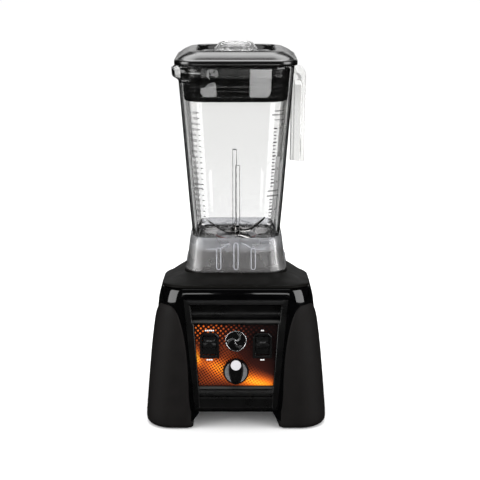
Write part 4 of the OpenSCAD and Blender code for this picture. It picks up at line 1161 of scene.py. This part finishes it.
def make_blades():
    """The raised pair and the lower pair of blades, each as two wings that cross the shaft."""
    high_z, low_z = node_box("raised_blades")[0].z, node_box("lower_blades")[1].z - 1.6
    # name, replaced node, and the turn, height, root, length, bend, width and tip width of its wings
    pairs = [("upper_cutter", "raised_blades", 8, high_z, 14, 28.5, 37, 14, 5.5),
             ("lower_cutter", "lower_blades", -62, low_z, 16, 19, -6, 14, 7)]
    for name, replaced, turn, *sizes in pairs:
        vertices, faces = [], []
        for half_turn in (0, 180):
            add_loft(vertices, faces, wing_rings(turn + half_turn, *sizes))
        make_piece(name, vertices, faces, "blade_unit", "blade_steel", (replaced,), sharp=30)


# ---- Lid ----

def make_lid():
    """The rubber lid: a plug with sealing ridges, a rim, and slopes up to a dished top around the cap."""
    h = LID_HALF
    seat = JAR_RIM_Z + 0.3
    plug_gap, hole_r = 1.3, 22
    dish_z, hole_step_z, under_z = LID_TOP_Z - 7.5, LID_TOP_Z - 33.5, LID_TOP_Z - 12

    def ring(half, r, z, bulge=0.0):
        return square_ring(half, half, r, z, 16, (-0.9, -0.6, -0.3, 0, 0.3, 0.6, 0.9), bulge=bulge)

    def plug(z, more=0.0, bulge=0.9):
        half = jar_half(z) - JAR_WALL - plug_gap + more
        return ring(half, CORNER_SHARE * jar_half(z) - JAR_WALL - plug_gap + more, z, bulge)

    outer = [plug(LID_LOW_Z, -1.0), plug(LID_LOW_Z + 0.4, -0.3), plug(LID_LOW_Z + 1.2)]
    for up in (5, 12, 16.5, 27.5):
        z = LID_LOW_Z + up
        outer += [plug(z - 0.9), plug(z - 0.5, 0.35), plug(z, 0.65), plug(z + 0.5, 0.35), plug(z + 0.9)]
    outer += [plug(LID_LOW_Z + 34), plug(seat)]
    rim = [(h - 1.6, 23, 0), (h - 0.5, 24, 0.35), (h, 24, 1.3), (h, 24, 5.2), (h - 0.35, 24, 6.1),
           (h - 1.3, 23.6, 6.7)]
    outer += [ring(half, r, seat + up, 0.4) for half, r, up in rim]
    foot, edge = (h - 2.2, 23.4, seat + 6.9), (56.5, 19.7, LID_TOP_Z - 1.9)
    for share in (0.0, 0.12, 0.3, 0.5, 0.7, 0.88, 1.0):
        half, r, z = (a + (b - a) * share for a, b in zip(foot, edge))
        outer.append(ring(half, r, z + 0.8 * math.sin(math.pi * share), 0.4))
    top = [(55.4, 19.3, 1.2), (54.2, 19, 0.95), (51.5, 18.5, 0.5), (49.2, 18, 0), (48.0, 17.6, 0.2),
           (47.0, 17.2, 1.0), (45.4, 16.4, 3.6), (44.3, 15.6, 6.0), (43.0, 15, 7.2), (41, 14.5, 7.5)]
    outer += [ring(half, r, LID_TOP_Z - down, 0.4) for half, r, down in top]
    hole = [ring(r, r, z) for r, z in ((hole_r, dish_z), (hole_r, hole_step_z), (hole_r + 2.4, hole_step_z),
                                       (hole_r + 2.4, under_z))]
    inner = [ring(46, 17, under_z), plug(LID_TOP_Z - 16, -3), plug(LID_LOW_Z + 22, -3),
             plug(LID_LOW_Z + 0.4, -2.7), plug(LID_LOW_Z, -2.0)]
    loft("lid_moulding", outer + hole + inner, "lid_unit", "lid_rubber", ("lid",), wrap=True, sharp=40)


def make_cap():
    """The clear measuring cap: a fluted grip ring, a domed shoulder and a cup that fits the lid's hole."""
    # radius, height and share of the fluting, for each ring
    low = node_box("lid_cap")[0].z
    seat = LID_TOP_Z - 7.2
    top = CAP_TOP_Z
    steps = 144
    profile = [(19.4, low + 0.4, 0), (19.9, low, 0), (21.2, low + 0.2, 0), (21.5, low + 1, 0),
               (21.5, seat, 0), (24.6, seat, 0.2), (25.6, seat + 0.6, 1), (25.8, seat + 3.5, 1),
               (25.3, seat + 6.6, 1), (24.4, seat + 8.0, 0.8), (22.6, seat + 9.6, 0.3),
               (20.4, top - 1.2, 0), (18.6, top - 0.25, 0), (17.7, top, 0), (16.9, top - 0.2, 0),
               (16.1, top - 1.3, 0), (14.5, top - 2.0, 0), (6, top - 2.3, 0), (0.01, top - 2.4, 0),
               (0.01, top - 4.6, 0), (13, top - 4.6, 0), (17.2, top - 5.4, 0), (18.8, top - 8.5, 0),
               (19.0, seat, 0)]
    rings = []
    for r, z, flute in profile:
        ring = []
        for j in range(steps):
            a = 2 * math.pi * j / steps
            fluted_r = r + 0.75 * flute * (abs(math.cos(9 * a)) - 0.7)
            ring.append((fluted_r * math.cos(a), fluted_r * math.sin(a), z))
        rings.append(ring)
    loft("cap_moulding", rings, "cap_unit", "cap_clear", ("lid_cap",), wrap=True, sharp=40)


# ---- Printed scales ----

def on_jar(x, z, right, lift):
    """A point lift above the jar's front, on one side, at distance x from the middle and height z."""
    half = jar_half(z)
    r = CORNER_SHARE * half
    centre = half - r
    bulge = 0.9 * (1 - (min(abs(x), half) / half) ** 2)
    if abs(x) <= centre:
        y = half + bulge
        n = (0, 1)
    else:
        a = math.asin(min(1, (abs(x) - centre) / r))
        y = centre + r * math.cos(a)
        y += bulge if a < math.pi / 4 else 0
        n = (math.sin(a), math.cos(a))
    px = abs(x) + n[0] * lift
    py = y + n[1] * lift
    return ((1 if right else -1) * px, -py, z)


def add_mark(vertices, faces, x0, x1, z0, z1, right):
    """A thin raised bar from x0 to x1 that follows the jar's surface."""
    steps = max(2, int(abs(x1 - x0) / 1.2) + 1)
    section = ((z0, 0.05), (z1, 0.05), (z1, 0.14), (z0, 0.14))
    stations = [x0 + (x1 - x0) * i / steps for i in range(steps + 1)]
    add_loft(vertices, faces, [[on_jar(x, z, right, lift) for z, lift in section] for x in stations])


SEGMENTS = {
    "0": "abcdef", "1": "bc", "2": "abged", "3": "abgcd", "4": "fgbc", "5": "afgcd", "6": "afgedc",
    "7": "abc", "8": "abcdefg", "9": "abcdfg",
}


def add_number(vertices, faces, text, x, z, height, right, toward):
    """Plain digits, made of bars, that follow the jar's surface; toward is 1 or -1, the way x grows."""
    wide, stroke, pitch = height * 0.52, height * 0.15, height * 0.78
    for index, digit in enumerate(text):
        left = x + toward * index * pitch
        spans = {
            "a": (0, wide, height - stroke, height), "d": (0, wide, 0, stroke),
            "g": (0, wide, (height - stroke) / 2, (height + stroke) / 2),
            "f": (0, stroke, height / 2, height), "e": (0, stroke, 0, height / 2),
            "b": (wide - stroke, wide, height / 2, height), "c": (wide - stroke, wide, 0, height / 2),
        }
        for segment in SEGMENTS[digit]:
            a, b, low, high = spans[segment]
            add_mark(vertices, faces, left + toward * a, left + toward * b, z + low - height / 2,
                     z + high - height / 2, right)


def add_dashes(vertices, faces, x0, x1, z, height, right, count):
    """A row of short dashes, spread from x0 to x1."""
    pitch = (x1 - x0) / count
    for i in range(count):
        add_mark(vertices, faces, x0 + i * pitch, x0 + (i + 0.72) * pitch, z - height / 2, z + height / 2,
                 right)


def make_scales():
    """Measuring marks: numbers with short lines on the left, two rows of ticks and numbers on the right."""
    low, high = JAR_FOOT_Z + 33, JAR_RIM_Z - 53
    vertices, faces = [], []
    rows = 22
    for i in range(rows):
        z = low + (high - low) * i / (rows - 1)
        lean = (z - low) / (high - low)
        outer = 46.0 + 7.2 * lean
        number = str(100 + i * 50)
        add_number(vertices, faces, number, outer, z, 2.5 + 0.4 * lean, False, -1)
        add_mark(vertices, faces, outer - 8.4, outer - 10.9, z - 0.42, z + 0.42, False)
    for up in (85.6, 80.6):
        add_dashes(vertices, faces, 48.5, 38.5, JAR_FOOT_Z + up, 1.3, False, 8)
    make_piece("scale_left", vertices, faces, "jar_unit", "scale_print")
    vertices, faces = [], []
    low, pitch, ticks = JAR_FOOT_Z + 38.5, 4.07, 29
    worded = (8, 9, 10)
    for i in range(ticks):
        if i in worded:
            continue
        z = low + pitch * i
        lean = i / (ticks - 1)
        inner = 38.2 + 6.0 * lean
        bold = i % 4 == 0
        thick = 0.8 if bold else 0.48
        add_mark(vertices, faces, inner, inner + (3.9 if bold else 3.2), z - thick, z + thick, True)
        if bold:
            add_number(vertices, faces, str(1 + i // 4), inner + 6.6, z, 3.0, True, 1)
    fine_ticks, fine_pitch = 42, 2.8
    for i in range(fine_ticks):
        z = low + fine_pitch * i
        inner = 50.8 + 6.2 * i / (fine_ticks - 1)
        add_mark(vertices, faces, inner, inner + 1.8, z - 0.42, z + 0.42, True)
    head_z = JAR_RIM_Z - 51
    words = ((37.5, 50.5, low + 9.6 * pitch, 9), (36.6, 50, low + 8.1 * pitch, 9), (45.5, 56, head_z, 7),
             (42, 56, head_z - 4.4, 10))
    for x0, x1, z, count in words:
        add_dashes(vertices, faces, x0, x1, z, 1.6, True, count)
    add_mark(vertices, faces, 44.5, 56, head_z - 10.8, head_z - 10, True)
    make_piece("scale_right", vertices, faces, "jar_unit", "scale_print")


# ---- CAD pieces that stay ----

EDGE_ROUNDING = {
    "power_switch_bezel": 0.7, "pulse_switch_bezel": 0.7, "power_paddle": 0.5, "pulse_paddle": 0.5,
    "rubber_feet": 0.6, "cord_gland": 0.8, "jar_pad": 0.8, "housing_nut": 0.6, "blade_nut": 0.4,
}


def dress_cad_nodes():
    """Gives every CAD node its material and softened edges."""
    slots = {part["node"]: part["material_slot"] for part in frame["record"]["subparts"]}
    for name, piece in NODES.items():
        mesh = piece.data
        mesh.materials.clear()
        mesh.materials.append(MATERIALS[slots[name]])
        if piece.hide_render:
            continue
        weld = piece.modifiers.new("weld", "WELD")
        weld.merge_threshold = 0.01 * MM
        add_bevel(piece, EDGE_ROUNDING.get(name, 0.25), 3, 35)


# ---- The scene ----

add_camera()
add_floor()
add_world()
add_lights()
bpy.context.scene.view_settings.view_transform = "Standard"

MATERIALS = make_materials()
MATERIALS["panel_print"] = panel_art()

make_housing()
make_roof()
for corner_name, corner_x, corner_y in (("front_left", -1, -1), ("front_right", 1, -1),
                                        ("rear_left", -1, 1), ("rear_right", 1, 1)):
    make_leg("leg_" + corner_name, corner_x, corner_y, "leg_cover_" + corner_name)
    make_heel("heel_" + corner_name, corner_x, corner_y)
make_fascia()
make_ledge("fascia_ledge_high", (50.9, 59.6, 4.7), (51.8, 62.6, 1.4))
make_ledge("fascia_ledge_low", (44.2, -21.2, 4.4), (44.3, -18.6, 1.4))
make_emblem()
make_labels()
make_knob()
make_jar()
make_handle()
make_collar()
add_collar_relief()
make_blades()
make_lid()
make_cap()
make_scales()
dress_cad_nodes()
